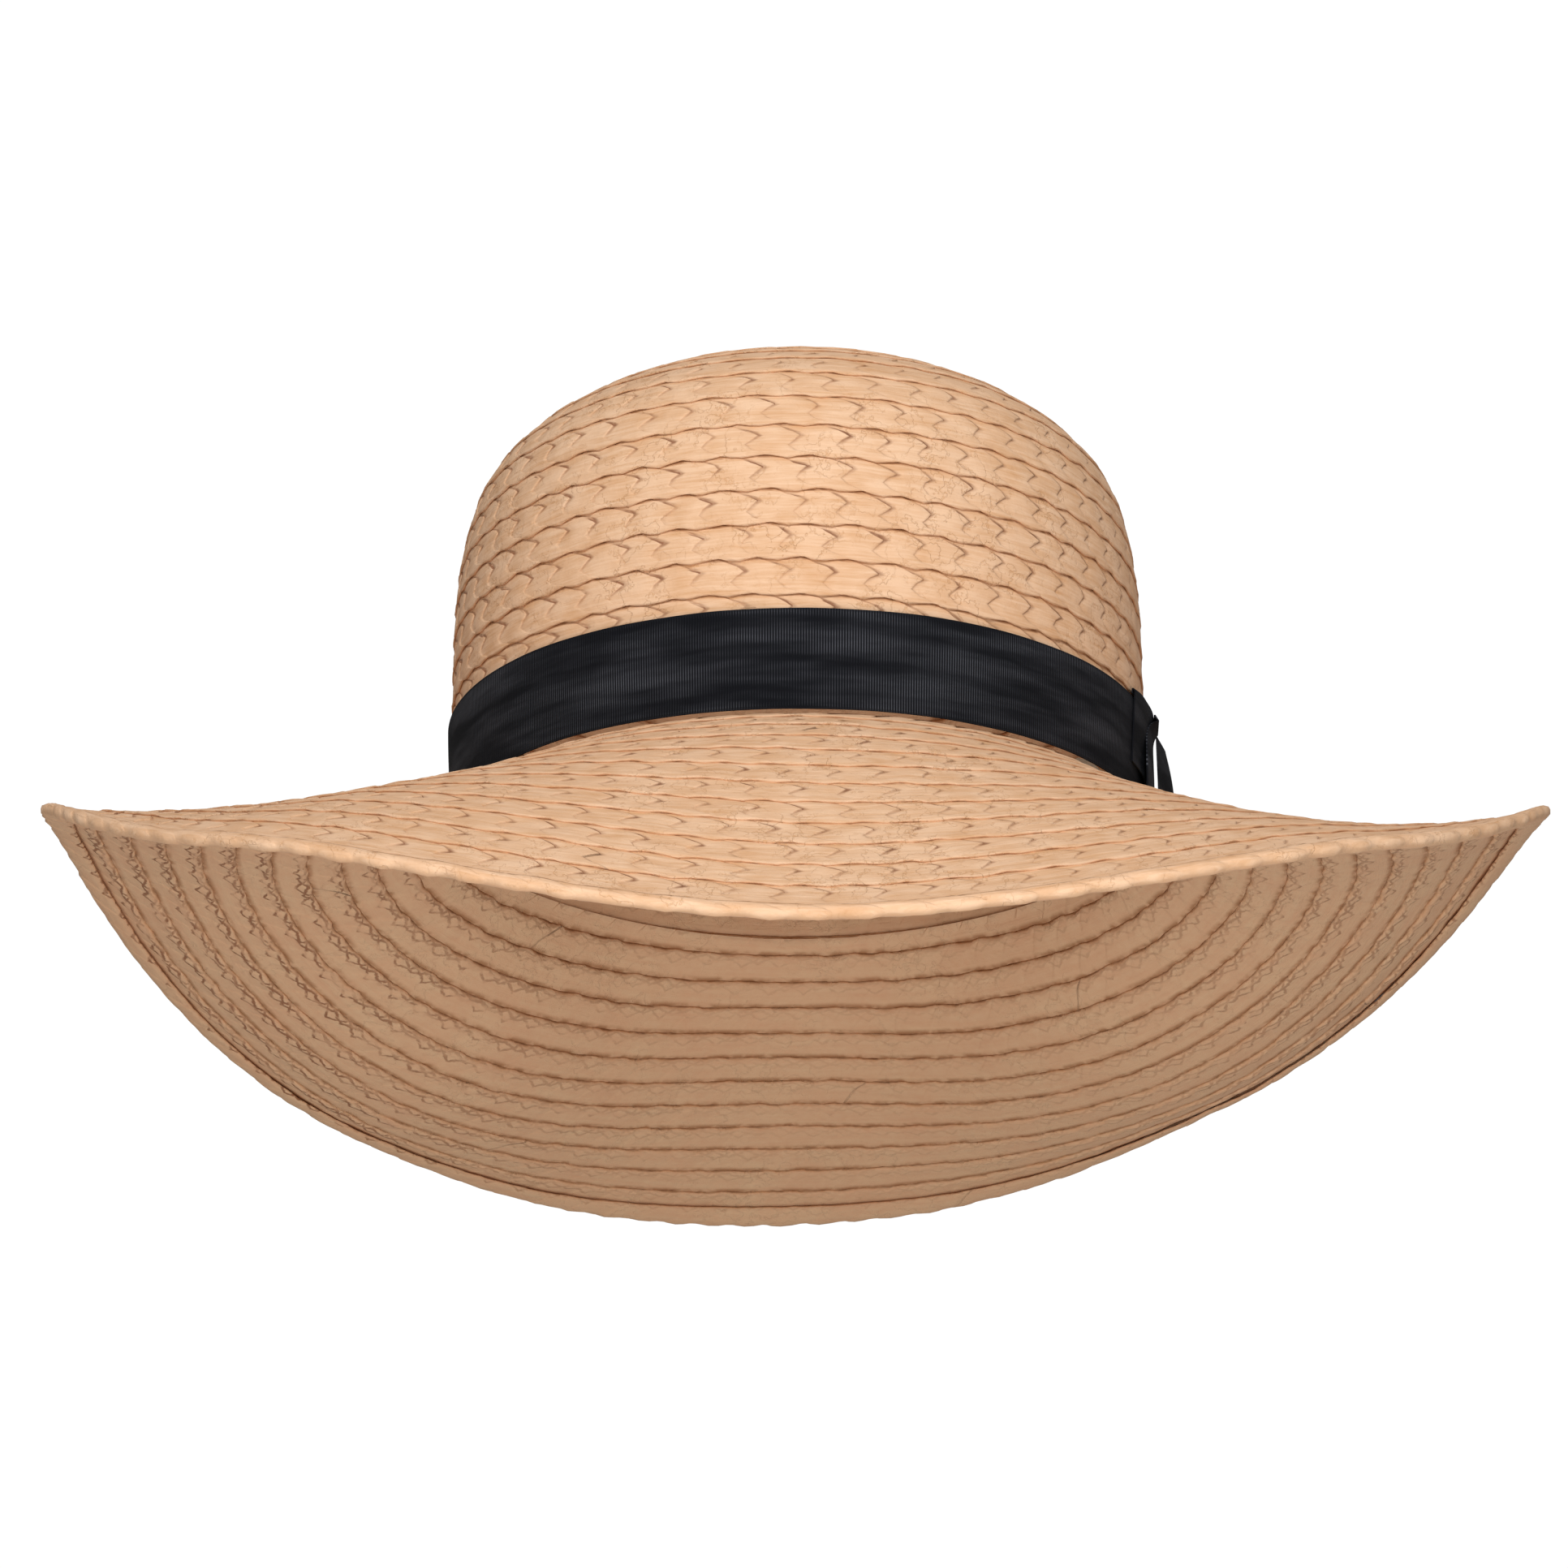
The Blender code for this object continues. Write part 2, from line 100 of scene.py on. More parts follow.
# %% Driving sizes
HEAD_HALF_WIDTH = 88.4 * MM
HEAD_HALF_LENGTH = 99.6 * MM
CROWN_HEIGHT = 116.2 * MM
WALL_STATIONS = ((0.0, 1.0), (0.224, 1.014), (0.448, 1.016), (0.637, 0.994), (0.775, 0.931), (0.878, 0.793))
TIP_SHARE = 0.32
SHOULDER_FULLNESS = 0.54
TIP_FULLNESS = 0.59
BRIM_WIDTH = 105.0 * MM
BRIM_SLOPES = (
    (-90, 24, 60, 44),
    (-45, 34, 13, 22),
    (0, 37, -11, -29),
    (45, 69, 29, -28),
    (90, 45, 33, 33),
    (135, 69, 35, -13),
    (180, 34, -10, -23),
    (225, 29, 6, 36),
)
STRAW = 2.0 * MM
RIBBON_WIDTH = 24.7 * MM
RIBBON = 0.6 * MM
GAP = 0.3 * MM

crown_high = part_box("crown")[1]
print("crown half width:", round(crown_high.x, 4), "against", round(HEAD_HALF_WIDTH * 1.016, 4))
print("crown height:", round(crown_high.z, 4), "against", CROWN_HEIGHT)


# %% [markdown]
# ## The crown and the brim as smooth surfaces
# Every piece lies on one of two smooth surfaces, so each surface becomes a hidden guide mesh with two
# coordinates: `turn`, the share of a full turn from the wearer's left, and the distance along the
# surface. For the crown that distance starts at the middle of the tip, and for the brim at the head
# opening. The guides could be left out and every point worked out by formula, but a guide lets a
# Geometry Nodes tree wrap any flat pattern round the hat.


# %% Smooth curves through stations
def hermite(start, leave, end, arrive, t):
    """A smooth curve from start to end with the given slopes there, where t goes from 0 to 1."""
    return (
        (2 * t**3 - 3 * t**2 + 1) * start
        + (t**3 - 2 * t**2 + t) * leave
        + (3 * t**2 - 2 * t**3) * end
        + (t**3 - t**2) * arrive
    )


def brim_station(turn, column):
    """One column of BRIM_SLOPES at any turn."""
    values = np.array([row[column] for row in BRIM_SLOPES], float)
    place = (np.asarray(turn) * 360 - BRIM_SLOPES[0][0]) % 360 / (360 / len(values))
    first = np.floor(place).astype(int) % len(values)
    before, start, end, after = (values[(first + step) % len(values)] for step in (-1, 0, 1, 2))
    return hermite(start, (end - before) / 2, end, (after - start) / 2, place - np.floor(place))


def wall_share(height):
    """The crown wall's share of the head oval at a height below the shoulder."""
    place = np.clip(np.asarray(height, float) / CROWN_HEIGHT, 0, WALL_STATIONS[-2][0])
    stations = np.array([(WALL_STATIONS[0][0] - 1, WALL_STATIONS[0][1]), *WALL_STATIONS])
    first = np.clip(np.searchsorted(stations[:, 0], place, side="right") - 1, 1, len(stations) - 3)
    before, start, end, after = (stations[first + step] for step in (-1, 0, 1, 2))
    width = end[..., 0] - start[..., 0]
    leave = (end[..., 1] - before[..., 1]) / (end[..., 0] - before[..., 0]) * width
    arrive = (after[..., 1] - start[..., 1]) / (after[..., 0] - start[..., 0]) * width
    return hermite(start[..., 1], leave, end[..., 1], arrive, (place - start[..., 0]) / width)


def oval_normal(turn):
    """The head oval's level normal, of length 1."""
    angle = 2 * np.pi * np.asarray(turn)
    x, y = np.cos(angle) / HEAD_HALF_WIDTH, np.sin(angle) / HEAD_HALF_LENGTH
    return np.stack([x, y], -1) / np.hypot(x, y)[..., None]


def wall_point(turn, height, out):
    """A point near the crown's wall, out from its outer face."""
    angle, share, normal = 2 * np.pi * np.asarray(turn), wall_share(height), oval_normal(turn)
    x = HEAD_HALF_WIDTH * share * np.cos(angle) + normal[..., 0] * out
    y = HEAD_HALF_LENGTH * share * np.sin(angle) + normal[..., 1] * out
    return np.stack(np.broadcast_arrays(x, y, height), -1)


print("the wall is widest at", round(float(wall_share(0.4 * CROWN_HEIGHT)), 3), "of the head oval")


# %% The crown's line from the tip to the head opening
def crown_line():
    """(distance from the middle of the tip, height, share of the head oval) along the crown."""
    radius = (HEAD_HALF_WIDTH + HEAD_HALF_LENGTH) / 2
    shoulder = WALL_STATIONS[-2][0] * CROWN_HEIGHT
    wall_heights = np.linspace(0, shoulder, 60)
    before, start, after = WALL_STATIONS[-3:]
    lean = (after[1] - before[1]) * radius / ((after[0] - before[0]) * CROWN_HEIGHT)
    length = math.hypot(lean, 1.0)
    t = np.linspace(0, 1, 61)[1:]
    top_share = hermite(start[1], SHOULDER_FULLNESS * lean / length, TIP_SHARE, -TIP_FULLNESS, t)
    top_height = hermite(shoulder, SHOULDER_FULLNESS * radius / length, CROWN_HEIGHT, 0.0, t)
    tip_share = np.linspace(TIP_SHARE, 0, 20)[1:]
    share = np.concatenate([wall_share(wall_heights), top_share, tip_share])[::-1]
    height = np.concatenate([wall_heights, top_height, np.full(19, CROWN_HEIGHT)])[::-1]
    step = np.hypot(np.diff(share) * radius, np.diff(height))
    return np.concatenate([[0], np.cumsum(step)]), height, share


crown_distance, crown_height, crown_share = crown_line()
CROWN_RUN = float(crown_distance[-1])
print("from the middle of the tip down to the head opening:", round(CROWN_RUN * 1000, 1), "mm")


# %% Guide meshes
GUIDE_TURNS = 240
GUIDE_STEPS = 120
NEARBY = 1e-4  # a small step to either side, for reading a direction


def store_vectors(mesh, label, values):
    """Stores one vector for each point of a mesh."""
    stored = mesh.attributes.new(label, "FLOAT_VECTOR", "POINT")
    stored.data.foreach_set("vector", np.asarray(values, np.float32).reshape(-1))


def grid_faces(index, flipped=False):
    """The four-sided faces of a grid of point numbers, turned over if flipped."""
    corners = (index[:-1, :-1], index[1:, :-1], index[1:, 1:], index[:-1, 1:])
    faces = np.stack(corners, -1).reshape(-1, 4)
    return np.roll(faces[:, ::-1], 1, axis=1) if flipped else faces


def guide_mesh(name, point_at, run):
    """A hidden sheet of point_at(turn, distance), with its map and its outward direction stored."""
    turns = np.linspace(-1 / GUIDE_TURNS, 1 + 1 / GUIDE_TURNS, GUIDE_TURNS + 3)
    along = np.linspace(0, run, GUIDE_STEPS + 1)
    turn, distance = np.meshgrid(turns, along, indexing="ij")
    points = point_at(turn, distance)
    round_it = point_at(turn + NEARBY, distance) - point_at(turn - NEARBY, distance)
    nearer, further = np.clip(distance - NEARBY, 1e-6, run), np.clip(distance + NEARBY, 1e-5, run)
    outwards = np.cross(point_at(turn, further) - point_at(turn, nearer), round_it)
    facing = outwards / np.maximum(np.linalg.norm(outwards, axis=-1, keepdims=True), 1e-12)
    mesh = bpy.data.meshes.new(name)
    mesh.from_pydata(points.reshape(-1, 3), [], grid_faces(np.arange(turn.size).reshape(turn.shape)))
    store_vectors(mesh, "map", np.stack([turn, distance / run, np.zeros_like(turn)], -1))
    store_vectors(mesh, "facing", facing)
    return new_object(name, mesh, helper=True)


def crown_point(turn, distance):
    angle = 2 * np.pi * turn
    share = np.interp(distance, crown_distance, crown_share)
    height = np.interp(distance, crown_distance, crown_height)
    x, y = HEAD_HALF_WIDTH * share * np.cos(angle), HEAD_HALF_LENGTH * share * np.sin(angle)
    return np.stack([x, y, height], -1)


def brim_point(turn, distance, above=0.0):
    """Walks out from the head opening along the slope, then moves square to the brim's face."""
    turn, distance = np.broadcast_arrays(np.asarray(turn, float), np.asarray(distance, float))
    steps = 48
    reach, drop = np.zeros(turn.shape), np.zeros(turn.shape)
    start, middle, edge = (brim_station(turn, column) for column in (1, 2, 3))
    for step in range(steps + 1):
        share = (step + 0.5) / steps * distance / BRIM_WIDTH if step < steps else distance / BRIM_WIDTH
        slope = np.radians(start * (1 - share) ** 2 + middle * 2 * share * (1 - share) + edge * share**2)
        if step < steps:
            reach, drop = reach + np.cos(slope) * distance / steps, drop + np.sin(slope) * distance / steps
    point = wall_point(turn, np.zeros(turn.shape), reach + np.sin(slope) * above)
    point[..., 2] = np.cos(slope) * above - drop
    return point


GUIDE_SPARE = 1.5 * MM  # the brim's guide runs on past its edge, for the round of the fold
BRIM_LAP = 1.6 * MM  # and starts this far under the crown's foot
BRIM_GUIDE_RUN = BRIM_LAP + BRIM_WIDTH + GUIDE_SPARE


def lapped_brim_point(turn, distance):
    return brim_point(turn, distance - BRIM_LAP)


crown_guide = guide_mesh("crown_guide", crown_point, CROWN_RUN)
brim_guide = guide_mesh("brim_guide", lapped_brim_point, BRIM_GUIDE_RUN)
brim_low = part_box("brim")[0]
print("brim guide's lowest point:", round(min(v.co.z for v in brim_guide.data.vertices), 4))
print("packed brim's lowest point:", round(brim_low.z, 4))


# %% [markdown]
# ## Writing node trees as sums
# A material or a Geometry Nodes tree is a graph of small sums, and adding each Math node by hand hides
# what the sum is. So a small class wraps a socket and gives it the usual operators: an expression such
# as `1 - mask * 0.4` adds its own Math nodes. Any other node comes from one method, `add`.


# %% Sockets that can be added and multiplied
class Socket:
    """One output of a node tree, which can be used in Python sums."""

    def __init__(self, tree, output):
        self.tree = tree
        self.output = output

    def math(self, operation, *others, clamp=False):
        settings = {"operation": operation, "use_clamp": clamp}
        return self.tree.add("ShaderNodeMath", settings, dict(enumerate((self, *others))))

    def __add__(self, other):
        return self.math("ADD", other)

    def __sub__(self, other):
        return self.math("SUBTRACT", other)

    def __rsub__(self, other):
        return self.math("MULTIPLY_ADD", -1.0, other)

    def __mul__(self, other):
        return self.math("MULTIPLY", other)

    def __truediv__(self, other):
        return self.math("DIVIDE", other)

    def __pow__(self, other):
        return self.math("POWER", other)

    __radd__ = __add__
    __rmul__ = __mul__

    def floor(self):
        return self.math("FLOOR")

    def fraction(self):
        return self.math("FRACT")

    def clamped(self):
        return self.math("ADD", 0.0, clamp=True)

    def step(self, low, high):
        """0 below low and 1 above high, with a smooth change between."""
        settings = {"interpolation_type": "SMOOTHSTEP"}
        sockets = {"Value": self, "From Min": low, "From Max": high}
        return self.tree.add("ShaderNodeMapRange", settings, sockets)


class Tree:
    """A node tree that is filled from top to bottom."""

    def __init__(self, tree):
        self.tree = tree

    def add(self, kind, settings=None, inputs=None, output=0):
        """Adds a node, sets its settings and then its sockets, and returns one of its outputs."""
        node = self.tree.nodes.new(kind)
        for name, value in (settings or {}).items():
            setattr(node, name, value)
        for name, value in (inputs or {}).items():
            self.join(self.find(node.inputs, name), value)
        return Socket(self, self.find(node.outputs, output))

    @staticmethod
    def find(sockets, name):
        if isinstance(name, int):
            return sockets[name]
        named = [socket for socket in sockets if socket.identifier == name]
        return (named or [socket for socket in sockets if socket.name == name and socket.enabled])[0]

    def join(self, target, value):
        if isinstance(value, Socket):
            self.tree.links.new(value.output, target)
        else:
            target.default_value = value

    def vector(self, x=0.0, y=0.0, z=0.0):
        return self.add("ShaderNodeCombineXYZ", {}, {"X": x, "Y": y, "Z": z})

    def parts(self, vector):
        split = self.add("ShaderNodeSeparateXYZ", {}, {"Vector": vector})
        return [Socket(self, output) for output in split.output.node.outputs]

    def noise(self, vector, scale, detail=2.0, roughness=0.5, seed=0.0):
        sockets = {"Vector": vector, "W": seed, "Scale": scale, "Detail": detail, "Roughness": roughness}
        return self.add("ShaderNodeTexNoise", {"noise_dimensions": "4D"}, sockets, "Fac")

    def blend(self, factor, first, second):
        sockets = {"Factor_Float": factor, "A_Color": first, "B_Color": second}
        return self.add("ShaderNodeMix", {"data_type": "RGBA"}, sockets, "Result_Color")

    def object_place(self):
        return self.add("ShaderNodeTexCoord", {}, {}, "Object")

    def stored(self, name, kind="FLOAT_VECTOR"):
        """An attribute of the points, read inside a Geometry Nodes tree."""
        settings = {"data_type": kind}
        return self.add("GeometryNodeInputNamedAttribute", settings, {"Name": name}, "Attribute")

    def shape_of(self, thing):
        return self.add("GeometryNodeObjectInfo", {}, {"Object": thing}, "Geometry")

    def scaled(self, vector, factor):
        sockets = {"Vector": vector, "Scale": factor}
        return self.add("ShaderNodeVectorMath", {"operation": "SCALE"}, sockets, "Vector")

    def vector_sum(self, first, second):
        return self.add("ShaderNodeVectorMath", {"operation": "ADD"}, {0: first, 1: second}, "Vector")


print("the socket class is ready")


# %% [markdown]
# ## Wrapping one stitch of plait round the hat
# A plait repeats every few millimetres, and a hat has about two thousand repeats. Each could be copied
# by hand or by an Array modifier, but the copies would be stiff and would gape where the hat curves.
# Instead one flat unit, a stitch, is made a few dozen faces big. A Geometry Nodes tree sets copies of
# it side by side in a long flat strip, and then lays every point of the strip on the guide surface.
#
# The strip's places come as a row of points, each with the turn and the distance of its stitch, so the
# same tree makes the spiral of the crown, the rings of the brim and the folded row at the edge.

# %% The tree that lays stitches on a guide
ROW_PITCH = 8.725 * MM  # from one seam to the next
STITCH = 10.7 * MM  # length of one repeat of the plait


def new_group(name, kinds):
    """A Geometry Nodes group: its tree, its named inputs inside it, and those inputs' settings."""
    group = bpy.data.node_groups.new(name, "GeometryNodeTree")
    settings = {
        label: group.interface.new_socket(label, in_out="INPUT", socket_type="NodeSocket" + kind)
        for label, kind in kinds.items()
    }
    group.interface.new_socket("Result", in_out="OUTPUT", socket_type="NodeSocketGeometry")
    tree, source = Tree(group), group.nodes.new("NodeGroupInput")
    given = {socket.name: Socket(tree, socket) for socket in source.outputs if socket.name}
    return tree, given, settings


def end_group(tree, mesh, made_of):
    """Smooths the mesh, gives it its material and hands it to the group's output."""
    smooth = tree.add("GeometryNodeSetShadeSmooth", {}, {"Geometry": mesh}, "Geometry")
    sockets = {"Geometry": smooth, "Material": made_of}
    painted = tree.add("GeometryNodeSetMaterial", {}, sockets, "Geometry")
    sink = tree.tree.nodes.new("NodeGroupOutput")
    tree.join(sink.inputs["Result"], painted)


PLAIT_KINDS = {
    "Places": "Geometry",
    "Guide": "Object",
    "Guide run": "Float",
    "Stitch": "Object",
    "Stitch length": "Float",
    "Row pitch": "Float",
    "Waviness": "Float",
    "Slip": "Float",
    "Unevenness": "Float",
    "Seed": "Float",
    "Finish": "Material",
}
grow, given, PLAIT_INPUTS = new_group("lay_plait", PLAIT_KINDS)
print("inputs of the plait tree:", list(PLAIT_INPUTS))

# %% Copies side by side, then read back where each point belongs
stitch_shape = grow.shape_of(given["Stitch"])
begins = grow.stored("begins", "BOOLEAN")
sockets = {"Points": given["Places"], "Selection": begins, "Instance": stitch_shape}
copies = grow.add("GeometryNodeInstanceOnPoints", {}, sockets, "Instances")
strip = grow.add("GeometryNodeRealizeInstances", {}, {"Geometry": copies}, "Geometry")
flat_place = grow.add("GeometryNodeInputPosition")
number, across, lift = grow.parts(flat_place)
first_place, between = number.floor(), number.fraction()


def at_place(name, step):
    """A place attribute, read at the place before a point or a step after it."""
    value = grow.stored(name, "FLOAT")
    sockets = {"Geometry": given["Places"], "Value": value, "Index": first_place + step}
    return grow.add("GeometryNodeSampleIndex", {"data_type": "FLOAT"}, sockets, "Value")


def along_places(name):
    """A place attribute, read smoothly between the two places beside a point."""
    here, there = at_place(name, 0.0), at_place(name, 1.0)
    return here + (there - here) * between


turn, start = along_places("turn"), along_places("start")
stitch_turn = at_place("turn", 1.0) - at_place("turn", 0.0)
plait_map = grow.vector(number * given["Stitch length"], across * given["Row pitch"], lift)
mapped = grow.add(
    "GeometryNodeStoreNamedAttribute",
    {"data_type": "FLOAT_VECTOR", "domain": "POINT"},
    {"Geometry": strip, "Name": "plait", "Value": plait_map},
    "Geometry",
)
print("nodes so far:", len(grow.tree.nodes))

# %% Lay the strip on the guide
guide_shape = grow.shape_of(given["Guide"])
guide_map, guide_face = grow.stored("map"), grow.stored("facing")


def on_guide(value, turn, distance):
    """Reads a value of the guide at a turn and a distance."""
    inside = distance.math("MAXIMUM", 1e-5).math("MINIMUM", given["Guide run"] * 0.9999)
    spot = grow.vector(turn.fraction(), inside / given["Guide run"])
    sockets = {"Mesh": guide_shape, "Value": value, "Source UV Map": guide_map, "Sample UV": spot}
    return grow.add("GeometryNodeSampleUVSurface", {"data_type": "FLOAT_VECTOR"}, sockets, "Value")


def swing(place, scale, seed_step):
    """Smooth noise between -1 and 1 over the surface, the same for points that meet."""
    return (grow.noise(place, scale, 1.0, 0.5, given["Seed"] + seed_step) - 0.5) * 2.0


even_distance = start + across * given["Row pitch"]
even_place = on_guide(flat_place, turn, even_distance)
wander = swing(even_place, 110.0, 0.0) + swing(even_place, 25.0, 3.0) * 0.8
wander = wander + swing(even_place, 330.0, 5.0) * 0.45
slip = swing(even_place, 75.0, 7.0) + swing(even_place, 260.0, 9.0) * 0.45
distance = even_distance + wander * given["Waviness"]
slipped_turn = turn + slip * given["Slip"] * stitch_turn
surface_point = on_guide(flat_place, slipped_turn, distance)
surface_face = on_guide(guide_face, slipped_turn, distance)
puff = swing(surface_point, 130.0, 11.0) + swing(surface_point, 420.0, 13.0) * 0.5
height = lift + puff * given["Unevenness"]
final_place = grow.vector_sum(surface_point, grow.scaled(surface_face, height))
laid = grow.add("GeometryNodeSetPosition", {}, {"Geometry": mapped, "Position": final_place}, "Geometry")
sewn = grow.add("GeometryNodeMergeByDistance", {}, {"Geometry": laid, "Distance": 0.02 * MM}, "Geometry")
end_group(grow, sewn, given["Finish"])
print("nodes in the plait tree:", len(grow.tree.nodes))


# %% Run the tree on a row of places
def run_tree(name, group, inputs, values, start_mesh):
    """Runs a Geometry Nodes tree on a mesh and returns its result as a plain object."""
    holder = new_object(name + "_start", start_mesh)
    modifier = holder.modifiers.new("grow", "NODES")
    modifier.node_group = group
    for label, value in values.items():
        modifier[inputs[label].identifier] = value
    graph = bpy.context.evaluated_depsgraph_get()
    mesh = bpy.data.meshes.new_from_object(holder.evaluated_get(graph), depsgraph=graph)
    mesh.name = name
    bpy.data.objects.remove(holder)
    return new_object(name, mesh)


def places_mesh(runs):
    """A row of points. Each run is (turns, starts) of its stitches, with one more place at each end."""
    turns = np.concatenate([run[0] for run in runs])
    starts = np.concatenate([run[1] for run in runs])
    begins = np.concatenate([[False, *[True] * (len(run[0]) - 4), False, False, False] for run in runs])
    mesh = bpy.data.meshes.new("places")
    mesh.from_pydata([(index, 0, 0) for index in range(len(turns))], [], [])
    stored = (("turn", "FLOAT", turns), ("start", "FLOAT", starts), ("begins", "BOOLEAN", begins))
    for label, kind, values in stored:
        mesh.attributes.new(label, kind, "POINT").data.foreach_set("value", values)
    return mesh


# How far the rows wander, how far the leaves stand in and out, and how far they slip along the row.
WAVINESS = 0.62 * MM
UNEVENNESS = 0.42 * MM
SLIP = 0.22  # in stitches


def lay_plait(name, stitch, guide, run, runs, made_of, waviness=WAVINESS, seed=1.0):
    values = {
        "Guide": guide,
        "Guide run": run,
        "Stitch": stitch,
        "Stitch length": STITCH,
        "Row pitch": ROW_PITCH,
        "Waviness": waviness,
        "Slip": SLIP,
        "Unevenness": UNEVENNESS,
        "Seed": seed,
        "Finish": made_of,
    }
    made = run_tree(name, grow.tree, PLAIT_INPUTS, values, places_mesh(runs))
    triangles = sum(len(face.vertices) - 2 for face in made.data.polygons)
    print(name, "has", sum(len(run[0]) - 4 for run in runs), "stitches and", triangles, "triangles")
    return made


# %% [markdown]
# ## One stitch of the plait
# In a plait each strand comes out from under its neighbour, runs a little way along the row and dives
# under the next one. Seen from outside, every stitch is a soft leaf whose right edge is a stepped
# line. The unit below is one leaf between two such lines. Its columns follow the line, so that the
# small step where one leaf covers the next is a real step. Across the row it is a closed section:
# the outer face, the rolled lip that covers the next row, the inner face and back to the start.

# %% The section of a row, and the line where one leaf covers the next
OVERLAP = 0.233  # how much of a row lies under the row before it, in row pitches
# (place across the row, height in mm above the crown's outer face, line, step in mm, how dark the line's
# painted shade is)
OUTER_FACE = (
    (-OVERLAP, -1.00, -0.15, 0.0, 0.0),
    (-0.02, -0.60, 0.00, 0.08, 0.3),
    (0.07, -0.48, 0.22, 0.28, 0.9),
    (0.17, -0.40, 0.44, 0.42, 1.0),
    (0.30, -0.33, 0.58, 0.46, 1.0),
    (0.45, -0.28, 0.42, 0.36, 0.75),
    (0.62, -0.23, 0.29, 0.30, 0.60),
    (0.80, -0.17, 0.48, 0.28, 0.55),
    (0.94, -0.04, 0.74, 0.16, 0.2),
    (1.00, -0.16, 0.85, 0.05, 0.0),
)
LIP_BOTTOM = (0.985, -0.66, 0.85, 0.0, 0.0)
INNER_FACE = (
    (0.78, -1.12, 0.60, 0.0, 0.0),
    (0.45, -1.46, 0.40, 0.06, 0.0),
    (0.10, -1.76, 0.18, 0.12, 0.0),
    (-0.12, -1.97, 0.00, 0.14, 0.0),
    (-0.21, -1.90, -0.10, 0.05, 0.0),
)
# (share of the stitch, height of the leaf there as a share of its step, how much of the line's painted
# shade shows)
LEAF = (
    (0.00, -1.00, 1.00),
    (0.05, -0.94, 0.85),
    (0.20, -0.48, 0.20),
    (0.42, -0.12, 0.00),
    (0.70, 0.02, 0.00),
    (0.92, -0.04, 0.10),
    (0.98, -0.22, 0.60),
)
TOOTH = 0.17  # how far the inner edge of a row dips in and out, in row pitches
SCALLOP = 0.045  # how far the lip swings in and out, in row pitches


def stitch_unit(name, outer, lip, inner, groove_above, groove_below):
    """One leaf as a closed sleeve of the row's section, from one line to the next.

    The painted shade of the grooves shows on the outer face up to groove_above, and on the inner
    face from groove_below.
    """
    section = [(*station, 1) for station in outer] + [(*lip, 0)] + [(*station, -1) for station in inner]
    points, marks = [], []
    for share, leaf, line_shows in (*LEAF, (1.0, *LEAF[0][1:])):
        tooth = 1 - abs(2 * share - 1)
        for place, height, line, step, darkness, side in section:
            dip = TOOTH * tooth if side < 0 and place < -0.1 else 0.0
            if place > 0.93:
                dip += SCALLOP * math.sin(2 * math.pi * (share + line))
            points.append((share + line, place + dip, (height + side * step * leaf) * MM))
            in_groove = place <= groove_above if side > 0 else side < 0 and place >= groove_below
            # Each point's marks: how much painted shade its line gets, whether it lies in a groove's
            # painted shade, and whether it is underneath.
            marks.append((line_shows * darkness, float(in_groove), float(side < 0)))
    index = np.arange(len(points)).reshape(-1, len(section))
    mesh = bpy.data.meshes.new(name)
    mesh.from_pydata(points, [], grid_faces(np.concatenate([index, index[:, :1]], 1), flipped=True))
    store_vectors(mesh, "marks", marks)
    print(name, "has", len(mesh.polygons), "faces")
    return new_object(name, mesh, helper=True)


plait_stitch = stitch_unit("plait_stitch", OUTER_FACE, LIP_BOTTOM, INNER_FACE, 0.0, 0.74)

# %% [markdown]
# ## The folded row at the edge
# The last row is folded over the brim's cut edge and the wire, and sewn through both sides. It could be
# a bent tube, but it is the same plait, so it is laid by the same tree with a wider section: a short
# lip on top, a round edge, and a longer lip underneath.


# %% The stitch of the folded row
def from_edge(distance):
    """A distance in from the brim's edge, as a place across a row that starts one pitch in from it."""
    return 1.0 - distance / (ROW_PITCH / MM)


FOLD_TOP = (
    (from_edge(3.4), -0.70, -0.15, 0.0, 0.0),
    (from_edge(3.3), -0.05, -0.12, 0.02, 0.0),
    (from_edge(2.8), 0.35, 0.00, 0.08, 0.0),
    (from_edge(1.9), 0.52, 0.20, 0.12, 0.1),
    (from_edge(0.9), 0.34, 0.45, 0.14, 0.1),
    (from_edge(0.2), -0.25, 0.60, 0.10, 0.0),
)
FOLD_EDGE = (from_edge(0.0), -1.15, 0.64, 0.0, 0.0)
FOLD_UNDER = (
    (from_edge(0.35), -2.2, 0.60, 0.08, 0.0),
    (from_edge(1.5), -2.9, 0.48, 0.12, 0.1),
    (from_edge(3.6), -3.05, 0.28, 0.12, 0.2),
    (from_edge(6.2), -2.95, 0.06, 0.12, 0.1),
    (from_edge(7.8), -2.65, -0.10, 0.06, 0.0),
    (from_edge(8.0), -2.10, -0.14, 0.0, 0.0),
    (from_edge(3.6), -2.0, -0.15, 0.0, 0.0),
)
fold_stitch = stitch_unit("fold_stitch", FOLD_TOP, FOLD_EDGE, FOLD_UNDER, from_edge(2.75), 2.0)

# %% [markdown]
# ## The straw's finish
# Paper straw is matt and pale where it faces the light, with fine streaks along each strand. The
# strands' edges and the seams hold shade, painted into the colour as orange-brown lines; the straw just
# under each row's lip, the paper's folds and the zigzag edges at the seams underneath get painted
# shade too. The underside is a little pinker and more mottled. All of it follows the plait's own
# coordinates, which the tree stored as `plait`, and the `marks` that say where a line, a groove or the
# underside is.


# %% Straw
def finish(name):
    """A new material and its tree, with the Principled shader left in."""
    made = bpy.data.materials.new(name)
    made.use_nodes = True
    shader = made.node_tree.nodes["Principled BSDF"]
    return made, Tree(made.node_tree), shader


def read(tree, name):
    return tree.add("ShaderNodeAttribute", {"attribute_name": name}, {}, "Vector")


